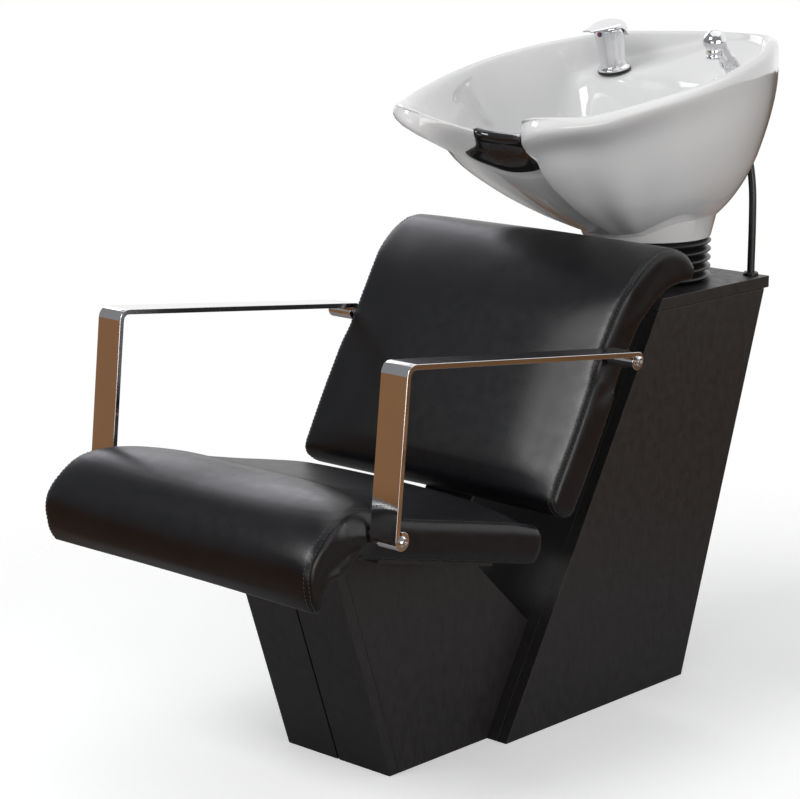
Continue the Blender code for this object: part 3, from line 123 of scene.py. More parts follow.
class Finish:
    """A procedural material in the making: a Principled shader and what feeds it."""

    def __init__(self, name, colour, roughness, **values):
        self.material = bpy.data.materials.new(name)
        self.material.use_nodes = True
        self.tree = self.material.node_tree
        self.shader = self.tree.nodes["Principled BSDF"]
        self.shader.inputs["Base Color"].default_value = (*colour, 1.0)
        self.shader.inputs["Roughness"].default_value = roughness
        for key, value in values.items():
            self.shader.inputs[key.replace("_", " ")].default_value = value
        self.place = node(self.tree, "TexCoord").outputs["Object"]
        self.normal = None

    def stretched(self, scale):
        return node(self.tree, "Mapping", {"Scale": scale, "Vector": self.place}).outputs["Vector"]

    def noise(self, scale, detail=3.0, rough=0.55, at=None):
        feeds = {"Scale": scale, "Detail": detail, "Roughness": rough, "Vector": at or self.place}
        return node(self.tree, "TexNoise", feeds).outputs["Fac"]

    def cells(self, scale, at=None):
        feeds = {"Scale": scale, "Vector": at or self.place}
        return node(self.tree, "TexVoronoi", feeds).outputs["Distance"]

    def span(self, source, low, high, start=0.3, end=0.7):
        feeds = {"Value": source, "From Min": start, "From Max": end, "To Min": low, "To Max": high}
        return node(self.tree, "MapRange", feeds).outputs["Result"]

    def colours(self, source, *stops):
        self.tree.links.new(ramp(self.tree, source, *stops), self.shader.inputs["Base Color"])

    def roughness(self, source, low, high, start=0.3, end=0.7):
        self.tree.links.new(self.span(source, low, high, start, end), self.shader.inputs["Roughness"])

    def bump(self, source, strength, distance):
        feeds = {"Height": source, "Strength": strength, "Distance": distance}
        if self.normal:
            feeds["Normal"] = self.normal
        self.normal = node(self.tree, "Bump", feeds).outputs["Normal"]
        self.tree.links.new(self.normal, self.shader.inputs["Normal"])


def ceramic():
    make = Finish("ceramic", (0.82, 0.82, 0.82), 0.06, Coat_Weight=0.3, Coat_Roughness=0.03)
    cloud = make.noise(5.0, 4.0)
    make.colours(cloud, (0.35, (0.795, 0.793, 0.790)), (0.65, (0.825, 0.824, 0.822)))
    make.roughness(make.noise(24.0), 0.045, 0.095)
    make.bump(make.noise(55.0, 2.0), 0.05, 0.0006)
    make.bump(make.noise(9.0, 1.0), 0.04, 0.002)
    return make.material


def vinyl():
    make = Finish("vinyl", (0.004, 0.004, 0.005), 0.32, Specular_IOR_Level=0.40)
    make.colours(make.noise(14.0, 4.0), (0.32, (0.0030, 0.0031, 0.0042)), (0.70, (0.0052, 0.0053, 0.0068)))
    make.roughness(make.noise(60.0, 5.0), 0.29, 0.36)
    make.bump(make.noise(30.0, 2.0), 0.02, 0.0008)
    make.bump(make.cells(620.0), 0.16, 0.00035)
    make.bump(make.noise(1500.0, 2.0), 0.10, 0.00012)
    return make.material


def thread():
    make = Finish("thread", (0.012, 0.012, 0.013), 0.5)
    strand = make.noise(900.0, 2.0)
    make.colours(strand, (0.3, (0.022, 0.022, 0.024)), (0.7, (0.060, 0.060, 0.064)))
    make.roughness(strand, 0.38, 0.60)
    make.bump(strand, 0.4, 0.0003)
    return make.material


def laminate():
    make = Finish("laminate", (0.014, 0.0125, 0.0125), 0.42)
    grain = make.noise(240.0, 4.0, 0.6, make.stretched((1.0, 1.0, 0.18)))
    make.colours(grain, (0.30, (0.0105, 0.0092, 0.0093)), (0.72, (0.0185, 0.0160, 0.0158)))
    make.roughness(make.noise(60.0, 5.0), 0.36, 0.50)
    make.bump(grain, 0.10, 0.00025)
    make.bump(make.noise(900.0, 2.0), 0.12, 0.0002)
    return make.material


def plywood():
    make = Finish("plywood", (0.020, 0.018, 0.017), 0.65)
    grain = make.noise(70.0, 5.0, 0.65, make.stretched((0.12, 1.0, 1.0)))
    make.colours(grain, (0.3, (0.013, 0.011, 0.010)), (0.7, (0.030, 0.026, 0.023)))
    make.roughness(grain, 0.55, 0.75)
    make.bump(grain, 0.3, 0.0005)
    return make.material


def chrome():
    make = Finish("chrome", (0.80, 0.80, 0.81), 0.05, Metallic=1.0)
    haze = make.noise(18.0, 6.0, 0.6)
    make.colours(haze, (0.3, (0.77, 0.77, 0.785)), (0.7, (0.83, 0.83, 0.84)))
    make.roughness(haze, 0.035, 0.085)
    make.bump(make.noise(30.0, 1.0), 0.02, 0.0006)
    return make.material


def powder_coat():
    make = Finish("powder_coat", (0.018, 0.018, 0.020), 0.45)
    peel = make.noise(700.0, 2.0)
    make.colours(make.noise(30.0), (0.3, (0.013, 0.013, 0.0145)), (0.7, (0.024, 0.024, 0.026)))
    make.roughness(peel, 0.36, 0.52)
    make.bump(peel, 0.25, 0.0003)
    return make.material


def rubber():
    make = Finish("rubber", (0.012, 0.012, 0.013), 0.36)
    dust = make.noise(26.0, 5.0, 0.6)
    make.colours(dust, (0.3, (0.0085, 0.0085, 0.0092)), (0.72, (0.0165, 0.0165, 0.0175)))
    make.roughness(dust, 0.29, 0.45)
    make.bump(make.noise(420.0, 3.0), 0.10, 0.0002)
    return make.material


def gel():
    make = Finish("gel", (0.008, 0.008, 0.009), 0.12, Coat_Weight=0.4, Coat_Roughness=0.06)
    cloud = make.noise(30.0, 4.0)
    make.colours(cloud, (0.3, (0.006, 0.006, 0.007)), (0.7, (0.011, 0.011, 0.012)))
    make.roughness(cloud, 0.09, 0.17)
    make.bump(make.noise(80.0, 2.0), 0.05, 0.0005)
    return make.material


def braid():
    make = Finish("braid", (0.05, 0.05, 0.055), 0.38, Metallic=0.7)
    weave = make.cells(420.0, make.stretched((1.0, 1.0, 0.5)))
    make.colours(weave, (0.1, (0.10, 0.10, 0.11)), (0.6, (0.018, 0.018, 0.02)))
    make.roughness(weave, 0.3, 0.5, 0.1, 0.6)
    make.bump(weave, 0.6, 0.0006)
    return make.material


def grey_plastic():
    make = Finish("grey_plastic", (0.60, 0.60, 0.59), 0.42)
    dust = make.noise(40.0, 4.0)
    make.colours(dust, (0.3, (0.52, 0.52, 0.51)), (0.7, (0.64, 0.64, 0.63)))
    make.roughness(dust, 0.36, 0.5)
    make.bump(make.noise(300.0, 2.0), 0.1, 0.0003)
    return make.material


def two_colours(middle):
    """Red for hot on one half of the index, dark blue for cold on the other."""
    make = Finish("index", (0.4, 0.02, 0.03), 0.2, Coat_Weight=0.5)
    parts = node(make.tree, "SeparateXYZ", {"Vector": make.place}).outputs
    half = make.span(parts["X"], 0.0, 1.0, middle - 0.0003, middle + 0.0003)
    make.colours(half, (0.49, (0.50, 0.012, 0.025)), (0.51, (0.012, 0.014, 0.10)))
    make.roughness(make.noise(600.0), 0.16, 0.28)
    return make.material


CERAMIC = ceramic()
VINYL = vinyl()
THREAD = thread()
LAMINATE = laminate()
PLYWOOD = plywood()
CHROME = chrome()
COAT = powder_coat()
RUBBER = rubber()
GEL = gel()
BRAID = braid()
PLASTIC = grey_plastic()


# shapes
def add(name, bm, material, body, *stands_for, slot=None, smooth=35.0, shift=FOOT_FRONT):
    """A bmesh in the shape tables' frame becomes a piece that rides on a body."""
    bmesh.ops.recalc_face_normals(bm, faces=bm.faces)
    if bm.calc_volume(signed=True) < 0:
        bmesh.ops.reverse_faces(bm, faces=bm.faces)
    bmesh.ops.transform(bm, matrix=Matrix.Translation((0.0, shift, 0.0)), verts=bm.verts)
    mesh = bpy.data.meshes.new(name)
    bm.to_mesh(mesh)
    bm.free()
    mesh.materials.append(material)
    mesh.shade_smooth()
    if smooth:
        mesh.set_sharp_from_angle(angle=math.radians(smooth))
    piece = bpy.data.objects.new(name, mesh)
    scene.collection.objects.link(piece)
    settle(piece, body, stands_for)
    return piece


def settle(piece, body, stands_for):
    """Tell the frame what a piece rides on, which nodes it replaces."""
    if body:
        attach(piece, body)
    if stands_for:
        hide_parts(*stands_for)


def loft(rings, wrap=False):
    """Skin rings of equal length; wrap joins the last ring to the first, else both ends are closed."""
    bm = bmesh.new()
    loops = [[bm.verts.new(p) for p in ring] for ring in rings]
    count = len(loops[0])
    pairs = list(zip(loops, loops[1:]))
    if wrap:
        pairs.append((loops[-1], loops[0]))
    for low, high in pairs:
        for i in range(count):
            j = (i + 1) % count
            bm.faces.new((low[i], low[j], high[j], high[i]))
    if not wrap:
        bm.faces.new(list(reversed(loops[0])))
        bm.faces.new(loops[-1])
    return bm


def turned(profile, centre=(0.0, 0.0), sides=64, wrap=False):
    """Turn (radius, height) points about a vertical axis; wrap leaves a bore."""
    turns = [2 * math.pi * i / sides for i in range(sides)]
    x, y = centre
    rings = [[(x + r * math.sin(a), y - r * math.cos(a), h) for a in turns] for r, h in profile]
    return loft(rings, wrap)


def curve_through(points, steps, first=None, last=None):
    """Points on a smooth curve through the given ones, steps in each span."""
    pts = [Vector(p) for p in points]
    before = Vector(first) if first else pts[0] * 2 - pts[1]
    after = Vector(last) if last else pts[-1] * 2 - pts[-2]
    pts = [before] + pts + [after]
    line = []
    for a, b, c, d in zip(pts, pts[1:], pts[2:], pts[3:]):
        for k in range(steps):
            t = k / steps
            line.append(0.5 * (2 * b + (c - a) * t + (2 * a - 5 * b + 4 * c - d) * t ** 2
                               + (3 * b - a - 3 * c + d) * t ** 3))
    line.append(pts[-2])
    return line


def lengths_along(line):
    """How far each point of a line is from its start."""
    lengths = [0.0]
    for a, b in zip(line, line[1:]):
        lengths.append(lengths[-1] + (b - a).length)
    return lengths


def spaced(line, wants):
    """The points of a line at rising lengths along it."""
    lengths = lengths_along(line)
    points, k = [], 0
    for want in wants:
        while k < len(line) - 2 and lengths[k + 1] < want:
            k += 1
        t = (want - lengths[k]) / (lengths[k + 1] - lengths[k])
        points.append(line[k].lerp(line[k + 1], min(t, 1.0)))
    return points


def knots(table, share):
    """A smooth curve through (share, value) knots that doesn't overshoot them."""
    runs = [(b[0] - a[0], (b[1] - a[1]) / (b[0] - a[0])) for a, b in zip(table, table[1:])]
    slopes = [0.0]
    for (_, before), (_, after) in zip(runs, runs[1:]):
        slopes.append(2 * before * after / (before + after) if before * after > 0 else 0.0)
    slopes.append(0.0)
    k = 0
    while k < len(runs) - 1 and share > table[k + 1][0]:
        k += 1
    run, rise = runs[k][0], table[k + 1][1] - table[k][1]
    t = min(max((share - table[k][0]) / run, 0.0), 1.0)
    bend = (slopes[k] * run - rise) * (1 - t) - (slopes[k + 1] * run - rise) * t
    return table[k][1] + rise * t + bend * t * (1 - t)


def between(values, place):
    """A value at a fractional place in a list."""
    k = min(int(place), len(values) - 2)
    return values[k] + (values[k + 1] - values[k]) * (place - k)


def rounded(profile, radius, steps=3):
    """Round the corners of an open (radius, height) profile."""
    out = [profile[0]]
    for a, b, c in zip(profile, profile[1:], profile[2:]):
        a, b, c = Vector(a), Vector(b), Vector(c)
        u, v = a - b, c - b
        reach = min(radius, 0.45 * u.length, 0.45 * v.length)
        start, end = b + u.normalized() * reach, b + v.normalized() * reach
        for k in range(steps + 1):
            t = k / steps
            out.append(tuple(start * (1 - t) ** 2 + b * 2 * t * (1 - t) + end * t * t))
    out.append(profile[-1])
    return out


def applied(piece):
    """Keep what a piece's modifiers make of it as its mesh."""
    graph = bpy.context.evaluated_depsgraph_get()
    mesh = bpy.data.meshes.new_from_object(piece.evaluated_get(graph))
    piece.modifiers.clear()
    piece.data = mesh


def placed(bm, matrix):
    bmesh.ops.transform(bm, matrix=matrix, verts=bm.verts)
    return bm


def edges_softened(name, width, segments=2):
    """A node keeps its mesh; its split corners are welded and its edges get a small round."""
    piece = nodes[name]
    weld = piece.modifiers.new("weld", "WELD")
    weld.merge_threshold = 0.00002
    bevel = piece.modifiers.new("edge", "BEVEL")
    bevel.width = width
    bevel.segments = segments
    bevel.limit_method = "ANGLE"
    bevel.angle_limit = math.radians(35)
    bevel.harden_normals = True


def dress(material, *names):
    for name in names:
        piece = nodes[name]
        piece.data.materials.clear()
        piece.data.materials.append(material)


# panels and rigid fittings that keep their solids
PANEL_EDGE, BOARD_EDGE, BAR_EDGE, BOLT_EDGE, STRAINER_EDGE = 0.0008, 0.0006, 0.0012, 0.0006, 0.0004
PANELS = [n for n in nodes if n.startswith(("cabinet_", "pedestal_"))]
dress(LAMINATE, *PANELS)
for name in PANELS:
    edges_softened(name, PANEL_EDGE)
dress(PLYWOOD, "seat_board", "back_board")
dress(COAT, "back_strap", "tilt_yoke", "tilt_saddle", "tilt_pin_left", "tilt_pin_right", "tap_nut",
      "spray_nut")
for name in ("seat_board", "back_board", "back_strap"):
    edges_softened(name, BOARD_EDGE)
ARMS = [n for n in nodes if n.startswith("arm")]
dress(CHROME, *ARMS)
for name in ARMS:
    edges_softened(name, BAR_EDGE if name.startswith("armrest") else BOLT_EDGE, 3)
dress(CHROME, "waste_strainer", "tap_cartridge")
edges_softened("waste_strainer", STRAINER_EDGE)
dress(RUBBER, "tap_gasket", "hose_grommet")
dress(PLASTIC, "waste_nut")


# bowl: the same sections as the solid, taken closer together
CAB_HEIGHT = 0.600
BOWL_Y = 0.48011
FOOT_Z = CAB_HEIGHT + 0.067
DRAIN_Y = BOWL_Y - 0.040
BASIN_Z = FOOT_Z + 0.015 + 0.030
DECK_FRONT_Y = BOWL_Y + 0.027
TAP_Y = BOWL_Y + 0.060
DECK_Z = CAB_HEIGHT + 0.306
DECK_SLOPE = math.radians(14.0)
RIM = ((0.000, -0.334, 0.246), (0.045, -0.341, 0.250), (0.081, -0.378, 0.266), (0.109, -0.424, 0.286),
       (0.140, -0.407, 0.290), (0.171, -0.360, 0.290), (0.197, -0.290, 0.302), (0.2175, -0.180, 0.321),
       (0.2140, -0.080, 0.338), (0.189, 0.021, 0.353), (0.146, 0.102, 0.363), (0.099, 0.177, 0.362),
       (0.055, 0.228, 0.361), (0.000, 0.248, 0.360))
RIM_ROLL = 0.012
# each table gives a measure at shares of the way round half the rim, from the notch to the rear
RIM_IN = ((0.0, 0.009), (0.07, 0.011), (0.13, 0.022), (0.22, 0.022), (0.40, 0.014), (0.54, 0.009),
          (1.0, 0.009))
HOLLOW = ((0.0, 0.0), (0.08, 0.0), (0.14, 0.020), (0.22, 0.030), (0.33, 0.022), (0.46, 0.006),
          (0.6, 0.0), (1.0, 0.0))
LIP_HEIGHT = ((0.0, 0.058), (0.05, 0.051), (0.085, 0.039), (0.12, 0.039), (0.16, 0.033), (0.25, 0.020),
              (0.4, 0.016), (1.0, 0.016))
LIP_OUT = ((0.0, -0.020), (0.05, -0.027), (0.085, -0.020), (0.12, 0.002), (0.16, 0.010), (0.25, 0.012),
           (1.0, 0.012))
SCOOP_IN = ((0.0, 0.004), (0.06, 0.008), (0.11, 0.040), (0.16, 0.078), (0.23, 0.100), (0.33, 0.085),
            (0.45, 0.035), (0.62, 0.003), (1.0, 0.0))
SCOOP_DROP = ((0.0, 0.006), (0.06, 0.010), (0.11, 0.032), (0.16, 0.046), (0.23, 0.058), (0.33, 0.076),
              (0.50, 0.071), (1.0, 0.054))
BELLY = ((0.0, 0.22), (0.10, 0.22), (0.20, 0.26), (0.33, 0.50), (0.50, 0.52), (1.0, 0.62))
COLLAR = ((0.0, 0.2), (0.30, 0.3), (0.60, 1.0), (1.0, 1.0))
BASIN_POWER = ((0.0, 2.0), (0.10, 1.8), (0.19, 1.35), (0.33, 1.9), (0.50, 3.6), (1.0, 4.0))
FOOT_R, COLLAR_OUT, COLLAR_H = 0.100, 0.007, 0.034
RECESS_R, RECESS = 0.085, 0.015
DRAIN_R, DRAIN_SEAT_R = 0.0225, 0.032
BASIN_RINGS = (0.0, 0.16, 0.32, 0.48, 0.62, 0.75, 0.85, 0.92, 0.965)
DECK_RING = 5
COARSE = 36                     # steps round half the rim, as in the solid
STEPS = 3 * COARSE
BASIN_STEPS = 44
BELLY_STEPS = 16


def deck_at(y):
    return DECK_Z + (y - TAP_Y) * math.tan(DECK_SLOPE)


def rim_half(steps):
    """Evenly spaced points along half of the rim's crest, with outward directions."""
    rim = [Vector((x, BOWL_Y + y, CAB_HEIGHT + z)) for x, y, z in RIM]
    fine = curve_through(rim, 24, Vector((-rim[1].x, rim[1].y, rim[1].z)),
                         Vector((-rim[-2].x, rim[-2].y, rim[-2].z)))
    total = lengths_along(fine)[-1]
    points = spaced(fine, [total * k / steps for k in range(steps + 1)])
    directions = []
    wide = steps // COARSE
    for k in range(steps + 1):
        away = Vector((0.0, 0.0))
        for reach in (wide, 2 * wide, 3 * wide):
            ends = []
            for step in (k - reach, k + reach):
                p = points[abs(step) if step < 0 else steps - abs(step - steps)]
                ends.append(Vector((-p.x if step < 0 or step > steps else p.x, p.y)))
            run = (ends[1] - ends[0]).normalized()
            away += Vector((run.y, -run.x))
        directions.append(away.normalized())
    return points, directions


def foot_point(crest, radius, height, centre_y):
    turn = math.atan2(crest.x, centre_y - crest.y)
    return Vector((radius * math.sin(turn), centre_y - radius * math.cos(turn), height))


def basin_line(seat, inner_rim, share):
    """From the drain's seat up the basin, over the deck where there is one, to the rim."""
    power = knots(BASIN_POWER, share)
    edge = min((DECK_FRONT_Y - seat.y) / max(inner_rim.y - seat.y, 0.01), 0.97)
    decked = min(max((inner_rim.y - DECK_FRONT_Y + 0.050) / 0.085, 0.0), 1.0)
    decked *= decked * (3 - 2 * decked)
    last = len(BASIN_RINGS) - 1
    line = []
    for step in range(1, BASIN_STEPS + 1):
        place = last * step / BASIN_STEPS
        ring = between(BASIN_RINGS, place)
        over = max(place - DECK_RING, 0.0) / (last - DECK_RING)
        to_deck = between(BASIN_RINGS, min(place, DECK_RING)) / BASIN_RINGS[DECK_RING]
        deck_ring = edge * to_deck + (0.985 - edge) * (1 - (1 - over) ** 2.2)
        at = ring + (deck_ring - ring) * decked
        spot = seat.lerp(inner_rim, at)
        wall_z = BASIN_Z + (inner_rim.z - BASIN_Z) * at ** power
        rise = min(deck_ring / edge, 1.0) ** 1.7
        deck_z = BASIN_Z + (deck_at(max(spot.y, DECK_FRONT_Y)) - BASIN_Z) * rise
        deck_z += 0.25 * (inner_rim.z - deck_z) * max(3 * over - 2, 0.0) ** 2
        spot.z = wall_z + (deck_z - wall_z) * decked
        line.append(spot)
    return line


def eased(line, passes, first, last):
    """Relax the inner points of a line, most in its middle, so that its corners turn softly."""
    pts = list(line)
    for _ in range(passes):
        pts = [p if not first <= i < last else p * 0.5 + (pts[i - 1] + pts[i + 1]) * 0.25
               for i, p in enumerate(pts)]
    return pts


def bowl_section(crest, out, share):
    """One meridian of the bowl as a closed loop: down the outside, under the foot, up the basin."""
    side, up = Vector((out.x, out.y, 0.0)), Vector((0.0, 0.0, 1.0))
    lip = crest + side * knots(LIP_OUT, share) - up * knots(LIP_HEIGHT, share)
    inward = Vector((-crest.x, BOWL_Y - 0.06 - crest.y, 0.0)).normalized()
    scoop = lip + inward * knots(SCOOP_IN, share) - up * knots(SCOOP_DROP, share)
    full = knots(COLLAR, share)
    collar = foot_point(crest, FOOT_R + full * COLLAR_OUT, FOOT_Z + full * COLLAR_H, BOWL_Y)
    belly = knots(BELLY, share)
    pull = collar.lerp(scoop, 0.5 + 0.5 * belly)
    pull.z = scoop.z + (collar.z - scoop.z) * (0.5 + 0.3 * belly)
    shoulder = crest + side * RIM_ROLL * 0.72 - up * RIM_ROLL * 0.42
    inward_roll = knots(RIM_IN, share)
    turns = [math.radians(t) for t in (75, 62, 49, 36, 24, 12)]
    over = [crest - side * inward_roll * math.sin(t) - up * 0.7 * inward_roll * (1 - math.cos(t))
            for t in turns]
    inner_rim = over[0]
    hollow = lip.lerp(scoop, 0.45) + inward * knots(HOLLOW, share)
    roll = curve_through([crest, shoulder, lip, hollow, scoop], 5, over[-1])
    under = [scoop * (1 - t) ** 2 + pull * 2 * t * (1 - t) + collar * t * t
             for t in (k / BELLY_STEPS for k in range(1, BELLY_STEPS + 1))]
    outside = eased(roll + under, 6, 6, len(roll) + 6)
    foot = [(FOOT_R, FOOT_Z + 0.004), (FOOT_R - 0.001, FOOT_Z + 0.001), (FOOT_R - 0.004, FOOT_Z)]
    foot += [(RECESS_R, FOOT_Z), (RECESS_R - 0.003, FOOT_Z + RECESS)]
    foot = [foot_point(crest, r, z, BOWL_Y) for r, z in foot]
    drain = [(DRAIN_R, FOOT_Z + RECESS), (DRAIN_R, BASIN_Z - 0.001), (DRAIN_R + 0.001, BASIN_Z)]
    drain += [(DRAIN_SEAT_R, BASIN_Z)]
    drain = [foot_point(crest, r, z, DRAIN_Y) for r, z in drain]
    basin = basin_line(drain[-1], inner_rim, share)
    basin = eased(drain[-1:] + basin + over, 16, 3, BASIN_STEPS - 1)
    basin = eased(basin, 4, BASIN_STEPS - 4, len(basin) - 2)
    return outside + foot + drain + basin[1:]


def mirrored(half):
    other = [[Vector((-p.x, p.y, p.z)) for p in section] for section in reversed(half[1:-1])]
    sections = half + other
    for p in sections[0] + sections[len(half) - 1]:
        p.x = 0.0
    return sections


def smoothed_round(sections, passes, first):
    """Even sections out with their neighbours round the bowl, all but their first points."""
    count = len(sections)
    for _ in range(passes):
        sections = [[p if j < first else p * 0.5 + (sections[i - 1][j] + sections[(i + 1) % count][j]) * 0.25
                     for j, p in enumerate(section)] for i, section in enumerate(sections)]
    return sections


rim_points, rim_out = rim_half(STEPS)
bowl_half = [bowl_section(p, d, k / STEPS) for k, (p, d) in enumerate(zip(rim_points, rim_out))]
bowl_sections = smoothed_round(mirrored(bowl_half), 6, 4)
bowl_rings = [[s[k] for s in bowl_sections] for k in range(len(bowl_sections[0]))]
bowl = add("bowl_glaze", loft(bowl_rings, wrap=True), CERAMIC, None, smooth=None)


def on_deck(x, y):
    """The frame of a fitting that stands square on the deck."""
    return Matrix.Translation((x, y, deck_at(y))) @ Matrix.Rotation(DECK_SLOPE, 4, "X")


TAP_X, SPRAY_X = -0.1145, 0.116
TAP_FRAME = on_deck(TAP_X, TAP_Y)
SPRAY_FRAME = on_deck(SPRAY_X, BOWL_Y + 0.061)


# hollow under the deck, open at the rear, and the two holes through it
DECK_T, POCKET_WALL, POCKET_Y = 0.018, 0.032, BOWL_Y + 0.041
MOUTH_Y, MOUTH_Z, MOUTH_HALF = BOWL_Y + 0.112, CAB_HEIGHT + 0.200, 0.120


def carve(target, shapes):
    """Cut closed shapes out of a piece and keep the result as its mesh."""
    tools = []
    for bm in shapes:
        tool = add("tool", bm, CERAMIC, None)
        tools.append(tool)
        step = target.modifiers.new("cut", "BOOLEAN")
        step.operation = "DIFFERENCE"
        step.solver = "EXACT"
        step.object = tool
    bpy.context.view_layer.update()
    applied(target)
    for tool in tools:
        bpy.data.objects.remove(tool, do_unlink=True)


coarse_points, coarse_out = rim_half(COARSE)
inset = [p.to_2d() - POCKET_WALL * d for p, d in zip(coarse_points, coarse_out)]
pocket = []
for a, b in zip(inset, inset[1:]):
    if a.y <= POCKET_Y < b.y:
        pocket.append(tuple(a.lerp(b, (POCKET_Y - a.y) / (b.y - a.y))))
    if b.y > POCKET_Y:
        pocket.append(tuple(b))
pocket += [(-x, y) for x, y in reversed(pocket) if x > 1e-6]
under_deck = DECK_T / math.cos(DECK_SLOPE)
mouth_end = MOUTH_Y + 0.25
mouth = [(-MOUTH_HALF, MOUTH_Y), (MOUTH_HALF, MOUTH_Y), (MOUTH_HALF, mouth_end), (-MOUTH_HALF, mouth_end)]
shapes = [loft([[(x, y, MOUTH_Z - 0.006) for x, y in pocket],
                [(x, y, deck_at(y) - under_deck) for x, y in pocket]]),
          loft([[(x, y, z) for x, y in mouth] for z in (FOOT_Z - 0.1, MOUTH_Z)])]
for fitting, radius in ((TAP_FRAME, 0.0153), (SPRAY_FRAME, 0.0133)):
    shapes.append(placed(turned([(radius, -2 * DECK_T), (radius, DECK_T)], sides=32), fitting))
carve(bowl, shapes)
bowl.data.set_sharp_from_angle(angle=math.radians(42))
settle(bowl, "bowl_group", ("bowl",))


# neck pad: a hollow over a soft roll, on the front of the notch
PAD_STEPS = 12 * COARSE         # fine steps round half the rim
PAD_REACH = 31                  # fine steps that it covers on each side at its lower edge
PAD_START = 0.0016              # of its upper edge from the crest
PAD_POINTS, PAD_LOW = 18, 10    # points of a section that it needs, and the one at its lower edge
# its reach on the way down, as a share
PAD_ENDS = ((0.0, 0.84), (0.12, 0.80), (0.45, 0.76), (0.80, 0.92), (1.0, 1.0))
PAD_T = 0.009
PAD_PROFILE = ((0.0, 0.30), (0.05, 0.50), (0.12, 0.52), (0.30, 0.36), (0.45, 0.46), (0.62, 0.90),
               (0.78, 1.0), (0.90, 0.86), (0.97, 0.62), (1.0, 0.30))
PAD_ROWS = 26
PAD_COLUMNS = 40


def pad_grids():
    """The notch's face and the pad's skin over it, as matching grids."""
    points, directions = rim_half(PAD_STEPS)
    faces = []
    for k in range(PAD_REACH + 1):
        section = bowl_section(points[k], directions[k], k / PAD_STEPS)[:PAD_POINTS]
        total = 0.97 * lengths_along(section)[PAD_LOW]
        wants = [PAD_START + (total - PAD_START) * j / PAD_ROWS for j in range(PAD_ROWS + 1)]
        faces.append(spaced(section, wants))
    base = []
    for k in range(-PAD_COLUMNS, PAD_COLUMNS + 1):
        row = []
        for j in range(PAD_ROWS + 1):
            place = abs(k) / PAD_COLUMNS * knots(PAD_ENDS, j / PAD_ROWS) * PAD_REACH
            i = min(int(place), PAD_REACH - 1)
            p = faces[i][j].lerp(faces[i + 1][j], place - i)
            row.append(Vector((math.copysign(p.x, k), p.y, p.z)))
        base.append(row)
    low, high = [], []
    for i, row in enumerate(base):
        end = 1.0 - abs(i - PAD_COLUMNS) / PAD_COLUMNS
        ends = 0.35 + 0.65 * math.sqrt(min(end / 0.10, 1.0))
        inner, outer = [], []
        for j, p in enumerate(row):
            down = row[min(j + 1, PAD_ROWS)] - row[max(j - 1, 0)]
            across = base[min(i + 1, len(base) - 1)][j] - base[max(i - 1, 0)][j]
            out = down.cross(across).normalized()
            thick = PAD_T * knots(PAD_PROFILE, j / PAD_ROWS) * ends
            inner.append(p + out * 2 * GAP)
            outer.append(p + out * (2 * GAP + thick))
        low.append(inner)
        high.append(outer)
    return low, high


def thick_skin(low, high):
    """Close two matching grids of points into one skin."""
    bm = bmesh.new()
    grids = [[[bm.verts.new(p) for p in row] for row in layer] for layer in (low, high)]
    rows, columns = len(low), len(low[0])
    for grid in grids:
        for i in range(rows - 1):
            for j in range(columns - 1):
                bm.faces.new((grid[i][j], grid[i + 1][j], grid[i + 1][j + 1], grid[i][j + 1]))
    border = [(i, 0) for i in range(rows)] + [(rows - 1, j) for j in range(1, columns)]
    border += [(i, columns - 1) for i in range(rows - 2, -1, -1)]
    border += [(0, j) for j in range(columns - 2, 0, -1)]
    for (i, j), (k, m) in zip(border, border[1:] + border[:1]):
        bm.faces.new((grids[0][i][j], grids[0][k][m], grids[1][k][m], grids[1][i][j]))
    return bm


add("neck_pad", thick_skin(*pad_grids()), GEL, "bowl_group", "neck_rest", slot="rubber", smooth=50.0)


# bellows and hoses between the cabinet and the bowl
BELLOWS_R, BELLOWS_RIBS, RIB_DEPTH, BELLOWS_WALL = 0.100, 5, 0.013, 0.003
WASTE_RIB = 0.0011
SHANK_END = -DECK_T - 0.020     # of the fittings' shanks, below the deck


def bellows_profile():
    """The bellows' waved wall, up its outside and down its inside."""
    low, high = CAB_HEIGHT + GAP, FOOT_Z - GAP
    skin = []
    count = 14 * BELLOWS_RIBS
    for k in range(count + 1):
        wave = 0.5 - 0.5 * math.cos(2 * math.pi * BELLOWS_RIBS * k / count)
        skin.append((BELLOWS_R - RIB_DEPTH * (1 - wave ** 0.6), low + (high - low) * k / count))
    return skin + [(r - BELLOWS_WALL, z) for r, z in reversed(skin)]


bellows = add("bellows_rubber", turned(bellows_profile(), (0.0, BOWL_Y), 96, wrap=True), RUBBER, None,
              "bellows", slot="rubber")
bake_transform(bellows)


def tube(route, radius, ribs=None, sides=24):
    """A hose along a route and its middle line in the frame; ribs is the pitch of its rings."""
    line = [Vector(p) for p in route]
    rings = []
    across = Vector((1.0, 0.0, 0.0))
    run = 0.0
    for i, p in enumerate(line):
        along = (line[min(i + 1, len(line) - 1)] - line[max(i - 1, 0)]).normalized()
        across = (across - along * across.dot(along)).normalized()
        other = along.cross(across)
        run += (p - line[i - 1]).length if i else 0.0
        wide = radius
        if ribs:
            wide -= WASTE_RIB * (0.5 + 0.5 * math.cos(2 * math.pi * run / ribs))
        rings.append([p + (across * math.cos(a) + other * math.sin(a)) * wide
                      for a in (2 * math.pi * k / sides for k in range(sides))])
    return loft(rings), [p + Vector((0.0, FOOT_FRONT, 0.0)) for p in line]


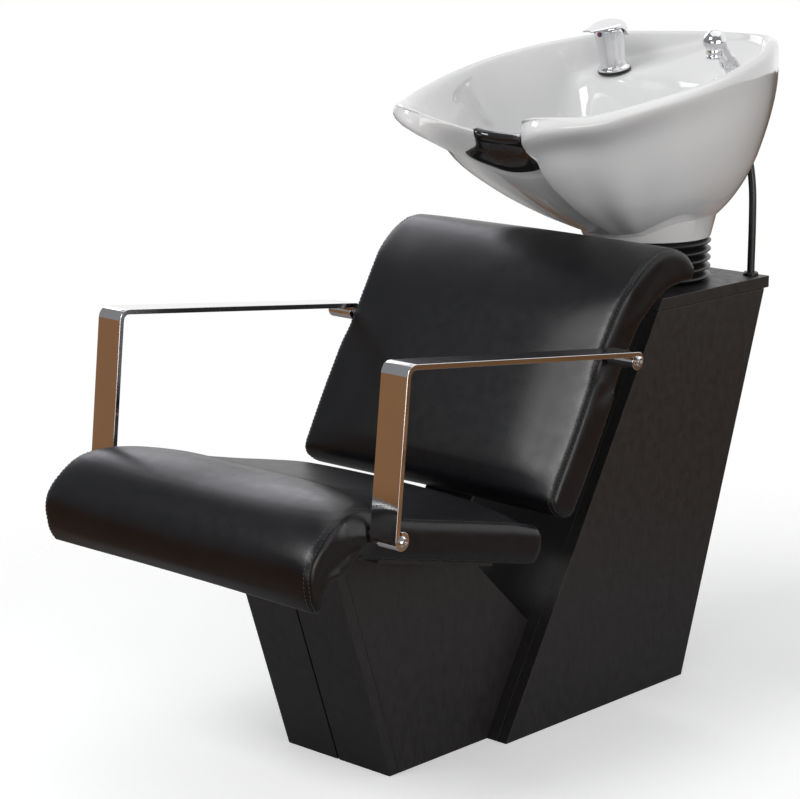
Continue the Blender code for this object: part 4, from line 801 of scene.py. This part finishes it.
def hose_route(fitting, offset, x1):
    """From a fitting's end, back through the hollow under the deck and down through the cabinet's top."""
    board, into, hose_y = 0.018, 0.060, MOUTH_Y + 0.013
    below = CAB_HEIGHT - board
    straight = [fitting @ Vector((offset, 0.0, SHANK_END - GAP - run)) for run in (0.0, 0.005, 0.010)]
    x0, y0, z0 = straight[-1]
    points = straight + [
        (x0, y0 + 0.008, z0 - 0.013), (0.6 * x0 + 0.34 * x1, y0 + 0.026, z0 - 0.026),
        (0.84 * x1, hose_y - 0.006, MOUTH_Z + 0.012), (0.91 * x1, hose_y + 0.001, MOUTH_Z - 0.022),
        (0.97 * x1, hose_y + 0.002, MOUTH_Z - 0.065), (x1, hose_y, CAB_HEIGHT + 0.080),
        (x1, hose_y, CAB_HEIGHT + 0.010), (x1, hose_y, below), (x1, hose_y, below - 0.2 * into),
        (x1, hose_y - 0.010, below - 0.55 * into), (x1, hose_y - 0.036, below - into)]
    return curve_through(points, 10)


HOSES = (("spray_hose", "spray_hose_rubber", SPRAY_FRAME, 0.0, 0.110, 0.0058, RUBBER, "rubber"),
         ("supply_hose_hot", "supply_braid_hot", TAP_FRAME, -0.006, -0.1065, 0.0050, BRAID, "braid"),
         ("supply_hose_cold", "supply_braid_cold", TAP_FRAME, 0.006, -0.0915, 0.0050, BRAID, "braid"))
for stands_for, name, fitting, offset, x1, radius, material, slot in HOSES:
    bm, line = tube(hose_route(fitting, offset, x1), radius)
    hose = add(name, bm, material, None, stands_for, slot=slot)
    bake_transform(hose)

OUTLET_Y = 0.090 - FOOT_FRONT
WASTE_R, WASTE_PITCH = 0.0205, 0.006
WASTE_ROUTE = ((0.0, 0.0), (0.06, 0.0), (0.20, 0.0), (0.45, 0.28), (0.66, 0.63), (0.83, 0.92), (0.93, 1.0),
               (1.0, 1.0))
waste_top, waste_low = FOOT_Z + RECESS - 0.030 - GAP, 0.0036
waste_line = curve_through([(0.0, DRAIN_Y + (OUTLET_Y - DRAIN_Y) * run,
                             waste_top + (waste_low - waste_top) * drop) for drop, run in WASTE_ROUTE], 34)
bm, line = tube(waste_line, WASTE_R, WASTE_PITCH)
waste = add("waste_hose_ribbed", bm, PLASTIC, None, "waste_hose", slot="waste_plastic", smooth=60.0)
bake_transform(waste)


# mixer tap, square to the deck
TAP_BASE_R, TAP_WAIST_R, TAP_TOP_R, TAP_HEIGHT = 0.0255, 0.0203, 0.0240, 0.0670
TAP_Z = GAP + 0.003 + GAP
TAP_TOP = TAP_Z + TAP_HEIGHT
flank = [(1.03 * TAP_WAIST_R, TAP_Z + 0.0075), (TAP_WAIST_R, TAP_Z + 0.012),
         (TAP_WAIST_R, TAP_Z + 0.3 * TAP_HEIGHT),
         (0.5 * (TAP_WAIST_R + TAP_TOP_R), TAP_Z + 0.55 * TAP_HEIGHT), (TAP_TOP_R, TAP_TOP - 0.014)]
flank = [(p.x, p.y) for p in curve_through([Vector(p).to_3d() for p in flank], 6)]
foot = rounded([(0.0150, TAP_Z), (TAP_BASE_R, TAP_Z), (TAP_BASE_R, TAP_Z + 0.0036),
                (0.90 * TAP_BASE_R, TAP_Z + 0.0050), (1.05 * TAP_WAIST_R, TAP_Z + 0.0062), flank[0]], 0.0009)
top = rounded([flank[-1], (TAP_TOP_R, TAP_TOP), (0.80 * TAP_TOP_R, TAP_TOP)], 0.0016)
column = [(0.0150, SHANK_END)] + foot + flank[1:-1] + top
add("tap_column", placed(turned(column), TAP_FRAME), CHROME, "bowl_group", "tap_body", slot="chrome")
INDEX_R, INDEX_T = 0.0040, 0.0014
index = rounded([(0.0002, 0.0), (INDEX_R, 0.0), (INDEX_R, INDEX_T), (0.0002, INDEX_T)], 0.0005)
index_place = Matrix.Translation((0.0, -TAP_TOP_R - GAP, TAP_TOP - 0.0045))
index_frame = TAP_FRAME @ (index_place @ Matrix.Rotation(math.radians(90), 4, "X"))
add("tap_index_dot", placed(turned(index, sides=32), index_frame), two_colours(TAP_X), "bowl_group",
    "tap_index", slot="index")

# depth, half-width, top and rim of the lever's hood, from its rear skirt to its beak
LEVER = ((0.0270, 0.0125, -0.0085, -0.0205), (0.0248, 0.0172, 0.0040, -0.0195),
         (0.0140, 0.0258, 0.0094, -0.0150), (0.0000, 0.0274, 0.0096, -0.0008),
         (-0.0140, 0.0254, 0.0092, 0.0008), (-0.0255, 0.0198, 0.0094, 0.0025),
         (-0.0400, 0.0140, 0.0098, 0.0052), (-0.0530, 0.0085, 0.0104, 0.0070))
LEVER_T, SKIRT_Y = 0.0024, 0.0246
SWIVEL = TAP_FRAME @ Matrix.Translation((0.0, 0.0, TAP_TOP + GAP))


def arch(half, low, high, y, steps=24):
    """A squarish arch over the axis, from one foot to the other."""
    square = 0.67
    points = []
    for k in range(steps + 1):
        turn = math.pi * k / steps
        across, up = math.cos(turn), math.sin(turn)
        x = math.copysign(abs(across) ** square, across) * half
        points.append(Vector((x, y, low + (high - low) * up ** square)))
    return points


def lever_shape():
    """The hood over the column's top, its rear skirt and its beak, with a rounded rim."""
    tops = curve_through([(y, half, high) for y, half, high, _ in LEVER], 6)
    feet = curve_through([(y, rim, 0.0) for y, _, _, rim in LEVER], 6)
    edge = Vector((0.0, 0.0, 0.35 * LEVER_T))
    rings = []
    for (y, half, high), (_, rim, _) in zip(tops, feet):
        roof = high - LEVER_T if y < SKIRT_Y else rim + 0.2 * LEVER_T
        outer = arch(half, rim, high, y)
        inner = arch(half - LEVER_T, rim, roof, y)
        inner.reverse()
        turn_out = [inner[-1] + edge, inner[-1].lerp(outer[0], 0.5), outer[0] + edge]
        turn_in = [outer[-1] + edge, outer[-1].lerp(inner[0], 0.5), inner[0] + edge]
        rings.append(outer[1:-1] + turn_in + inner[1:-1] + turn_out)
    return loft(rings)


add("tap_hood_lever", placed(lever_shape(), SWIVEL), CHROME, "tap_handle", "tap_lever", slot="chrome",
    smooth=48.0)


# hand spray in its holder
SPRAY_LEAN = math.radians(48.0)
SLEEVE_R, SLEEVE_LEN, STUB_R, STUB_LEN = 0.0135, 0.028, 0.0085, 0.018
sleeve_z = GAP + 0.006 + 0.006
sleeve_turn = Matrix.Rotation(SPRAY_LEAN - DECK_SLOPE, 4, "X")
TIP = SPRAY_FRAME @ Matrix.Translation((0.0, 0.0, sleeve_z)) @ sleeve_turn
holder_foot = [(0.0130, SHANK_END), (0.0130, GAP)] + rounded(
    [(0.0131, GAP), (0.0200, GAP), (0.0200, GAP + 0.0045), (0.0165, GAP + 0.0068),
     (0.0132, sleeve_z + 0.002), (0.0090, sleeve_z + 0.008)], 0.0014)
foot_bm = placed(turned(holder_foot, sides=48), SPRAY_FRAME)
add("spray_foot", foot_bm, CHROME, "bowl_group", "spray_holder", slot="chrome")
sleeve = [(STUB_R + 0.0001, SLEEVE_LEN - STUB_LEN - GAP)] + rounded(
    [(STUB_R + 0.0001, SLEEVE_LEN), (SLEEVE_R, SLEEVE_LEN), (SLEEVE_R, SLEEVE_LEN - 0.004),
     (SLEEVE_R - 0.0008, SLEEVE_LEN - 0.0052), (SLEEVE_R - 0.0004, 0.002), (0.0100, -0.007),
     (0.0010, -0.008)], 0.0012)
sleeve_bm = placed(turned(sleeve, sides=48), TIP)
add("spray_sleeve", sleeve_bm, CHROME, "bowl_group", "spray_holder", slot="chrome")

mouth_z = SLEEVE_LEN + GAP
head_z = mouth_z + 0.052
HEAD_R, NECK_R, NOZZLE_R, NOZZLE_LEN = 0.0175, 0.0120, 0.0115, 0.016
handle = [(NECK_R + 0.002, mouth_z + 0.0016), (NECK_R + 0.0012, mouth_z + 0.006), (NECK_R, mouth_z + 0.012),
          (NECK_R + 0.0002, mouth_z + 0.020), (NECK_R + 0.0016, head_z - 1.15 * HEAD_R),
          (HEAD_R - 0.0012, head_z - 0.72 * HEAD_R), (HEAD_R, head_z - 0.35 * HEAD_R)]
handle = [(p.x, p.y) for p in curve_through([Vector(p).to_3d() for p in handle], 5)]
crown = [(HEAD_R * math.cos(t), head_z - 0.35 * HEAD_R + HEAD_R * math.sin(t))
         for t in (math.radians(90 * k / 10) for k in range(1, 10))]
body = [(STUB_R, SLEEVE_LEN - STUB_LEN), (STUB_R, mouth_z), (NECK_R + 0.0016, mouth_z)] + handle + crown
body.append((0.0008, head_z + 0.65 * HEAD_R))
spray = add("spray_handle", placed(turned(body, sides=56), TIP), CHROME, None, smooth=40.0)
head = TIP @ Matrix.Translation((0.0, 0.0, head_z - 0.35 * HEAD_R)) @ Matrix.Rotation(
    math.radians(180) - SPRAY_LEAN, 4, "X")
bore = [(NOZZLE_R + GAP, 0.55 * HEAD_R), (NOZZLE_R + GAP, 2 * HEAD_R)]
carve(spray, [placed(turned(bore, sides=48), head)])
spray.data.set_sharp_from_angle(angle=math.radians(40))
settle(spray, "spray", ("hand_spray",))
nozzle_top = 0.55 * HEAD_R + GAP
nozzle_low = nozzle_top + NOZZLE_LEN
nozzle = rounded([(0.0004, nozzle_top), (NOZZLE_R, nozzle_top), (NOZZLE_R, nozzle_low - 0.0075),
                  (NOZZLE_R - 0.0009, nozzle_low - 0.0070), (NOZZLE_R - 0.0009, nozzle_low - 0.0050),
                  (NOZZLE_R, nozzle_low - 0.0045), (NOZZLE_R, nozzle_low), (0.82 * NOZZLE_R, nozzle_low),
                  (0.80 * NOZZLE_R, nozzle_low - 0.0022), (0.0004, nozzle_low - 0.0024)], 0.0006)
add("spray_aerator", placed(turned(nozzle, sides=48), head), CHROME, "spray", "spray_nozzle", slot="chrome")

# the stretch of hose that comes out of the holder with the spray
DRAWN_R, DRAWN_LEN = 0.0058, 0.072
drawn_top = SLEEVE_LEN - STUB_LEN - GAP
drawn = rounded([(0.0004, drawn_top - DRAWN_LEN), (DRAWN_R, drawn_top - DRAWN_LEN), (DRAWN_R, drawn_top),
                 (0.0004, drawn_top)], 0.0008)
add("spray_hose_end", placed(turned(drawn, sides=32), TIP), RUBBER, "spray", slot="rubber")


# upholstery: crowned slabs, blown up a little by cloth simulation between their seams
SEAT_HALF, BACK_HALF = 0.2425, 0.2395
SEAT_LINE = ((-0.060, 0.326, 0.052), (-0.1935, 0.357, 0.052), (-0.327, 0.388, 0.052),
             (-0.4025, 0.411, 0.064), (-0.446, 0.409, 0.073), (-0.487, 0.390, 0.055),
             (-0.4975, 0.363, 0.036), (-0.4965, 0.343, 0.024))
BACK_LINE = ((-0.0095, 0.368, 0.058), (0.035, 0.4465, 0.058), (0.076, 0.519, 0.058),
             (0.101, 0.563, 0.059), (0.150, 0.6355, 0.062), (0.200, 0.670, 0.064),
             (0.243, 0.671, 0.052), (0.268, 0.662, 0.032))
SEAT_CROWN, BACK_CROWN, PAD_END, PAD_EDGE = 0.020, 0.008, 0.012, 0.007
# swell of the sides along each slab, held in where the armrests are bolted on
SEAT_SIDES = ((0.0, 0.0), (0.2, -0.002), (0.42, -0.0025), (0.50, 0.002), (0.60, 0.011), (0.75, 0.014),
              (1.0, 0.013))
BACK_SIDES = ((0.0, 0.004), (0.15, 0.006), (0.27, 0.005), (0.37, 0.0), (0.49, 0.0), (0.59, 0.005),
              (0.80, 0.006), (1.0, 0.006))
SEAM_IN = 0.007                 # of the seam from the slab's side
SEAM_DEPTH, SEAM_WIDTH = 0.0016, 0.0026
STITCH_ROWS, STITCH_STEP = (-0.0042, 0.0042), 0.0030
BLOWN = 0.005                   # most that the air moves the cover
HELD = 0.006                    # reach of the strip that a seam holds
SIDE_SLACK = 0.0008
VOXEL = 0.0062
SIM_FRAMES = 11


def slab_outline(line, steps, front):
    """Round a slab: (place, normal, share of its length, on its face) for each point."""
    path = curve_through(line, steps)
    total = len(path) - 1
    sides = ([], [])
    for i, p in enumerate(path):
        ahead = path[min(i + 1, total)] - path[max(i - 1, 0)]
        along = Vector((ahead.x, ahead.y)).normalized()
        normal = Vector((along.y, -along.x))
        for face, group in ((1, sides[0]), (-1, sides[1])):
            group.append((Vector((p.x, p.y)) + normal * face * p.z / 2, i / total, face == front))
    caps = []
    for end, sign in ((total, 1), (0, -1)):
        p = path[end]
        ahead = path[total] - path[total - 1] if end else path[1] - path[0]
        along = Vector((ahead.x, ahead.y)).normalized() * sign
        normal = Vector((along.y, -along.x)) * sign
        cap = []
        for k in (0.46, 0.42, 0.35, 0.27, 0.14, 0.0, -0.14, -0.27, -0.35, -0.42, -0.46):
            out = PAD_END * (1 - (2 * abs(k)) ** 3)
            cap.append((Vector((p.x, p.y)) + normal * k * sign * p.z + along * out, end / total, False))
        caps.append(cap)
    spots = sides[0] + caps[0] + list(reversed(sides[1])) + caps[1]
    outline = []
    for i, (edge, share, face) in enumerate(spots):
        run = (spots[(i + 1) % len(spots)][0] - spots[i - 1][0]).normalized()
        outline.append((edge, Vector((run.y, -run.x)), share, face))
    return outline


def slab_ring(outline, half, sides, swell, share, inset):
    """The slab's outline at a share of its half-width, crowned on its face."""
    ring = []
    for edge, normal, s, face in outline:
        lengthwise = min(0.3 + s / 0.07, 1.0, (1 - s) / 0.75)
        crown = swell * (1 - share ** 10) * lengthwise if face else 0.0
        reach = half + knots(sides, s) * abs(share) ** 3
        spot = edge + normal * (crown - inset)
        ring.append(Vector((share * reach, spot.x, spot.y)))
    return ring


def slab(line, half, sides, front, swell):
    """A slab with rounded edges along a line, and its outline."""
    outline = slab_outline(line, 8, front)
    stations = [(1.0, PAD_EDGE), (1.0 - 0.12 * PAD_EDGE / half, 0.55 * PAD_EDGE),
                (1.0 - 0.35 * PAD_EDGE / half, 0.25 * PAD_EDGE), (1.0 - PAD_EDGE / half, 0.0)]
    stations += [(share, 0.0) for share in (0.95, 0.93, 0.90, 0.86, 0.80, 0.70, 0.57, 0.42, 0.28, 0.14)]
    stations = stations + [(0.0, 0.0)] + [(-share, inset) for share, inset in reversed(stations)]
    rings = [slab_ring(outline, half, sides, swell, share, inset) for share, inset in stations]
    return loft(rings), outline


def seam_lines(outline, half, sides, swell):
    """The two seams that join a slab's face to its side panels, as closed lines."""
    share = 1.0 - SEAM_IN / half
    ring = slab_ring(outline, half, sides, swell, share, 0.0)
    return [[Vector((sign * p.x, p.y + FOOT_FRONT, p.z)) for p in ring] for sign in (1, -1)]


def evenly(ring, step):
    """Points a fixed step apart along a closed line."""
    out, carry = [], 0.0
    for a, b in zip(ring, ring[1:] + ring[:1]):
        length = (b - a).length
        at = carry
        while at < length:
            out.append(a.lerp(b, at / length))
            at += step
        carry = at - length
    return out


def tree_of(points):
    tree = KDTree(len(points))
    for i, p in enumerate(points):
        tree.insert(p, i)
    tree.balance()
    return tree


def spread(mesh, shifts, passes):
    """Even out moves between neighbouring points, as a taut cover does."""
    moves = np.array([tuple(p) for p in shifts])
    ends = np.array([tuple(e.vertices) for e in mesh.edges])
    count = np.bincount(ends.ravel(), minlength=len(moves))[:, None]
    for _ in range(passes):
        total = np.zeros_like(moves)
        np.add.at(total, ends[:, 0], moves[ends[:, 1]])
        np.add.at(total, ends[:, 1], moves[ends[:, 0]])
        moves = 0.5 * moves + 0.5 * total / count
    return moves


def inflate(piece, seams):
    """Swell a closed cover by air pressure, with its seams held, and keep the result."""
    tree = tree_of(seams)
    mesh = piece.data
    rest = [v.co.copy() for v in mesh.vertices]
    for v in mesh.vertices:
        v.co -= v.normal * 0.4 * BLOWN
    group = piece.vertex_groups.new(name="seam")
    for i, p in enumerate(rest):
        away = tree.find(p)[2]
        weight = max(0.0, 1.0 - away / HELD)
        if weight > 0.0:
            group.add([i], weight, "REPLACE")
    cloth = piece.modifiers.new("cover", "CLOTH")
    settings = cloth.settings
    settings.quality = 5
    settings.mass = 0.35
    settings.tension_stiffness = settings.compression_stiffness = settings.shear_stiffness = 18.0
    settings.bending_stiffness = 2.0
    settings.use_pressure = True
    settings.uniform_pressure_force = 4.0
    settings.vertex_group_mass = group.name
    settings.effector_weights.gravity = 0.0
    cloth.collision_settings.use_collision = False
    cloth.point_cache.frame_start, cloth.point_cache.frame_end = 1, SIM_FRAMES
    for number in range(1, SIM_FRAMES + 1):
        scene.frame_set(number)
    graph = bpy.context.evaluated_depsgraph_get()
    blown = piece.evaluated_get(graph).to_mesh()
    moved = [v.co.copy() for v in blown.vertices]
    piece.evaluated_get(graph).to_mesh_clear()
    piece.modifiers.clear()
    piece.vertex_groups.clear()
    scene.frame_set(1)
    shifts = []
    for start, end in zip(rest, moved):
        shift = end - start
        shifts.append(shift * min(BLOWN / max(shift.length, 1e-9), 1.0))
    for v, start, shift in zip(mesh.vertices, rest, spread(mesh, shifts, 30)):
        v.co = start + Vector(shift)


def sink_seams(piece, seams, depth, width):
    """Draw a cover in along its seams."""
    tree = tree_of(seams)
    mesh = piece.data
    moves = []
    for v in mesh.vertices:
        away = tree.find(v.co)[2]
        if away < 2.5 * width:
            moves.append((v.index, v.normal * depth * math.exp(-(away / width) ** 2)))
    for index, move in moves:
        mesh.vertices[index].co -= move


def stitches(name, piece, rows, body, slot):
    """Short threads along lines on a cover, each a slim bead with its ends pulled in."""
    mesh = piece.data
    surface = BVHTree.FromPolygons([v.co for v in mesh.vertices], [tuple(p.vertices) for p in mesh.polygons])
    length, radius, sides = 0.0042, 0.00048, 6
    profile = ((-0.5, 0.25, -0.7), (-0.34, 0.9, 0.1), (0.0, 1.0, 0.35), (0.34, 0.9, 0.1), (0.5, 0.25, -0.7))
    bm = bmesh.new()
    for line in rows:
        for a, b in zip(line[::2], line[1::2]):
            p, normal = surface.find_nearest((a + b) / 2)[:2]
            along = b - a
            along = (along - normal * along.dot(normal)).normalized()
            across = along.cross(normal)
            loops = []
            for run, wide, lift in profile:
                middle = p + along * run * length + normal * lift * radius
                turns = [2 * math.pi * k / sides for k in range(sides)]
                ring = [(across * math.cos(t) + normal * math.sin(t)) * radius * wide for t in turns]
                loops.append([bm.verts.new(middle + edge) for edge in ring])
            for low, high in zip(loops, loops[1:]):
                for i in range(sides):
                    bm.faces.new((low[i], low[(i + 1) % sides], high[(i + 1) % sides], high[i]))
            bm.faces.new(list(reversed(loops[0])))
            bm.faces.new(loops[-1])
    add(name, bm, THREAD, body, slot=slot, smooth=None, shift=0.0)


def upholster(name, stands_for, line, half, sides, front, swell):
    """A cushion's cover with its seams and stitches."""
    bm, outline = slab(line, half - SIDE_SLACK, sides, front, swell)
    piece = add(name, bm, VINYL, None, smooth=None)
    remesh = piece.modifiers.new("remesh", "REMESH")
    remesh.mode = "VOXEL"
    remesh.voxel_size = VOXEL
    remesh.use_smooth_shade = True
    applied(piece)
    relax = piece.modifiers.new("relax", "SMOOTH")
    relax.factor, relax.iterations = 0.5, 4
    applied(piece)
    lines = seam_lines(outline, half, sides, swell)
    seams = [p for ring in lines for p in evenly(ring, 0.0015)]
    inflate(piece, seams)
    fine = piece.modifiers.new("fine", "SUBSURF")
    fine.levels = fine.render_levels = 1
    applied(piece)
    sink_seams(piece, seams, SEAM_DEPTH, SEAM_WIDTH)
    piece.data.materials.clear()
    piece.data.materials.append(VINYL)
    piece.data.shade_smooth()
    settle(piece, "base", (stands_for,))
    rows = []
    for ring in lines:
        for offset in STITCH_ROWS:
            moved = [p + Vector((offset * math.copysign(1.0, p.x), 0.0, 0.0)) for p in ring]
            rows.append(evenly(moved, STITCH_STEP))
    stitches(name + "_stitches", piece, rows, "base", "upholstery")


upholster("seat_cover", "seat_cushion", SEAT_LINE, SEAT_HALF, SEAT_SIDES, 1, SEAT_CROWN)
upholster("back_cover", "back_cushion", BACK_LINE, BACK_HALF, BACK_SIDES, -1, BACK_CROWN)


# plain pale floor, white surroundings and soft studio light
def maths(tree, operation, a, b):
    return node(tree, "Math", {0: a, 1: b}, operation=operation).outputs["Value"]


def eased_range(tree, source, start, end):
    feeds = {"Value": source, "From Min": start, "From Max": end}
    return node(tree, "MapRange", feeds, interpolation_type="SMOOTHSTEP").outputs["Result"]


def mixed(tree, share, first, second):
    return node(tree, "MixShader", {"Fac": share, 1: first, 2: second}).outputs["Shader"]


def stage_plane(name, corners):
    """A plane of the stage; gives its material."""
    mesh = bpy.data.meshes.new(name)
    mesh.from_pydata(corners, [], [(0, 1, 2, 3)])
    plane = bpy.data.objects.new(name, mesh)
    scene.collection.objects.link(plane)
    material = bpy.data.materials.new(name)
    material.use_nodes = True
    mesh.materials.append(material)
    return material


def glossy_only(name, corners, colour, strength):
    """A card that only reflections show."""
    material = stage_plane(name, corners)
    material.cycles.emission_sampling = "NONE"
    tree = material.node_tree
    tree.nodes.clear()
    shine = node(tree, "Emission", {"Color": (*colour, 1.0), "Strength": strength}).outputs["Emission"]
    clear = node(tree, "BsdfTransparent").outputs["BSDF"]
    glossy = node(tree, "LightPath").outputs["Is Glossy Ray"]
    node(tree, "OutputMaterial", {"Surface": mixed(tree, glossy, clear, shine)})


# the world is white to the camera, and to reflections of what is behind the unit
world = bpy.data.worlds.new("studio")
scene.world = world
world.use_nodes = True
tree = world.node_tree
tree.nodes.clear()
path = node(tree, "LightPath").outputs
seen = node(tree, "Background", {"Color": (1.0, 1.0, 1.0, 1.0)}).outputs["Background"]
lit = node(tree, "Background", {"Color": (0.95, 0.97, 1.0, 1.0), "Strength": 0.26}).outputs["Background"]
toward = node(tree, "SeparateXYZ", {"Vector": node(tree, "TexCoord").outputs["Generated"]}).outputs
behind = eased_range(tree, toward["Y"], 0.1, 0.6)
mirrored_white = maths(tree, "MULTIPLY", behind, path["Is Glossy Ray"])
white = maths(tree, "MAXIMUM", mirrored_white, path["Is Camera Ray"])
node(tree, "OutputWorld", {"Surface": mixed(tree, white, lit, seen)})

# the floor is pale and fades into the white; bright metal mirrors brown boards further out
FADE_START, FADE_END = 0.6, 1.4
FLOOR_HALF = 9
tree = stage_plane("floor", [(-FLOOR_HALF, -FLOOR_HALF, 0), (FLOOR_HALF, -FLOOR_HALF, 0),
                             (FLOOR_HALF, FLOOR_HALF, 0), (-FLOOR_HALF, FLOOR_HALF, 0)]).node_tree
shader = tree.nodes["Principled BSDF"]
shader.inputs["Roughness"].default_value = 0.8
grain = node(tree, "TexNoise", {"Scale": 40.0}).outputs["Fac"]
tint = ramp(tree, grain, (0.0, (0.90, 0.90, 0.90)), (1.0, (0.92, 0.92, 0.92)))
tree.links.new(tint, shader.inputs["Base Color"])
place = node(tree, "TexCoord").outputs["Object"]
path = node(tree, "LightPath").outputs
away = node(tree, "VectorMath", {0: place}, operation="LENGTH").outputs["Value"]
fade = eased_range(tree, away, FADE_START, FADE_END)
glow = node(tree, "Emission", {"Strength": 0.35}).outputs["Emission"]
pale = node(tree, "AddShader", {0: shader.outputs["BSDF"], 1: glow}).outputs["Shader"]
clear = node(tree, "BsdfTransparent").outputs["BSDF"]
seen = mixed(tree, maths(tree, "MULTIPLY", fade, path["Is Camera Ray"]), pale, clear)
planks = node(tree, "Mapping", {"Vector": place, "Rotation": (0.0, 0.0, math.radians(43.0)),
                                "Scale": (34.0, 1.6, 1.0)}).outputs["Vector"]
figure = node(tree, "TexNoise", {"Vector": planks, "Scale": 1.0, "Detail": 4.0}).outputs["Fac"]
browns = ramp(tree, figure, (0.36, (0.15, 0.070, 0.030)), (0.62, (0.38, 0.20, 0.095)))
far_gloss = maths(tree, "MULTIPLY", fade, path["Is Glossy Ray"])
tone = node(tree, "Mix", {"Factor": far_gloss, "A": (0.36, 0.36, 0.37, 1.0), "B": browns}, data_type="RGBA")
boards = node(tree, "BsdfDiffuse", {"Color": tone.outputs["Result"]}).outputs["BSDF"]
floor = mixed(tree, path["Is Camera Ray"], boards, seen)
tree.links.new(floor, tree.nodes["Material Output"].inputs["Surface"])


def lamp(name, place, aim, size, power, colour=(1.0, 1.0, 1.0)):
    light = bpy.data.lights.new(name, "AREA")
    light.shape = "RECTANGLE"
    light.size, light.size_y = size
    light.energy = power
    light.color = colour
    holder = bpy.data.objects.new(name, light)
    scene.collection.objects.link(holder)
    holder.location = place
    holder.rotation_euler = (Vector(aim) - Vector(place)).to_track_quat("-Z", "Y").to_euler()


MIDDLE = (0.0, 0.0, 0.6)
lamp("key", (-0.5, -3.0, 2.9), MIDDLE, (1.6, 1.2), 66.0)
lamp("fill", (3.4, -0.7, 0.8), MIDDLE, (2.4, 1.5), 43.0, (1.0, 0.98, 0.96))
lamp("low", (0.9, -3.2, 0.55), (0.0, 0.0, 0.7), (1.8, 0.9), 9.0)
lamp("top", (0.2, 0.4, 3.2), (0.0, 0.2, 0.8), (3.0, 3.0), 24.0)

glossy_only("wood_wall", [(-4.6, -2.2, 0.0), (-1.2, -4.4, 0.0), (-1.2, -4.4, 0.80), (-4.6, -2.2, 0.80)],
            (0.30, 0.155, 0.075), 0.8)
glossy_only("soft_panel",
            [(-2.77, 0.30, 1.44), (-1.94, 1.54, 1.44), (-1.43, 1.20, 2.46), (-2.26, -0.04, 2.46)],
            (0.94, 0.93, 1.0), 3.0)
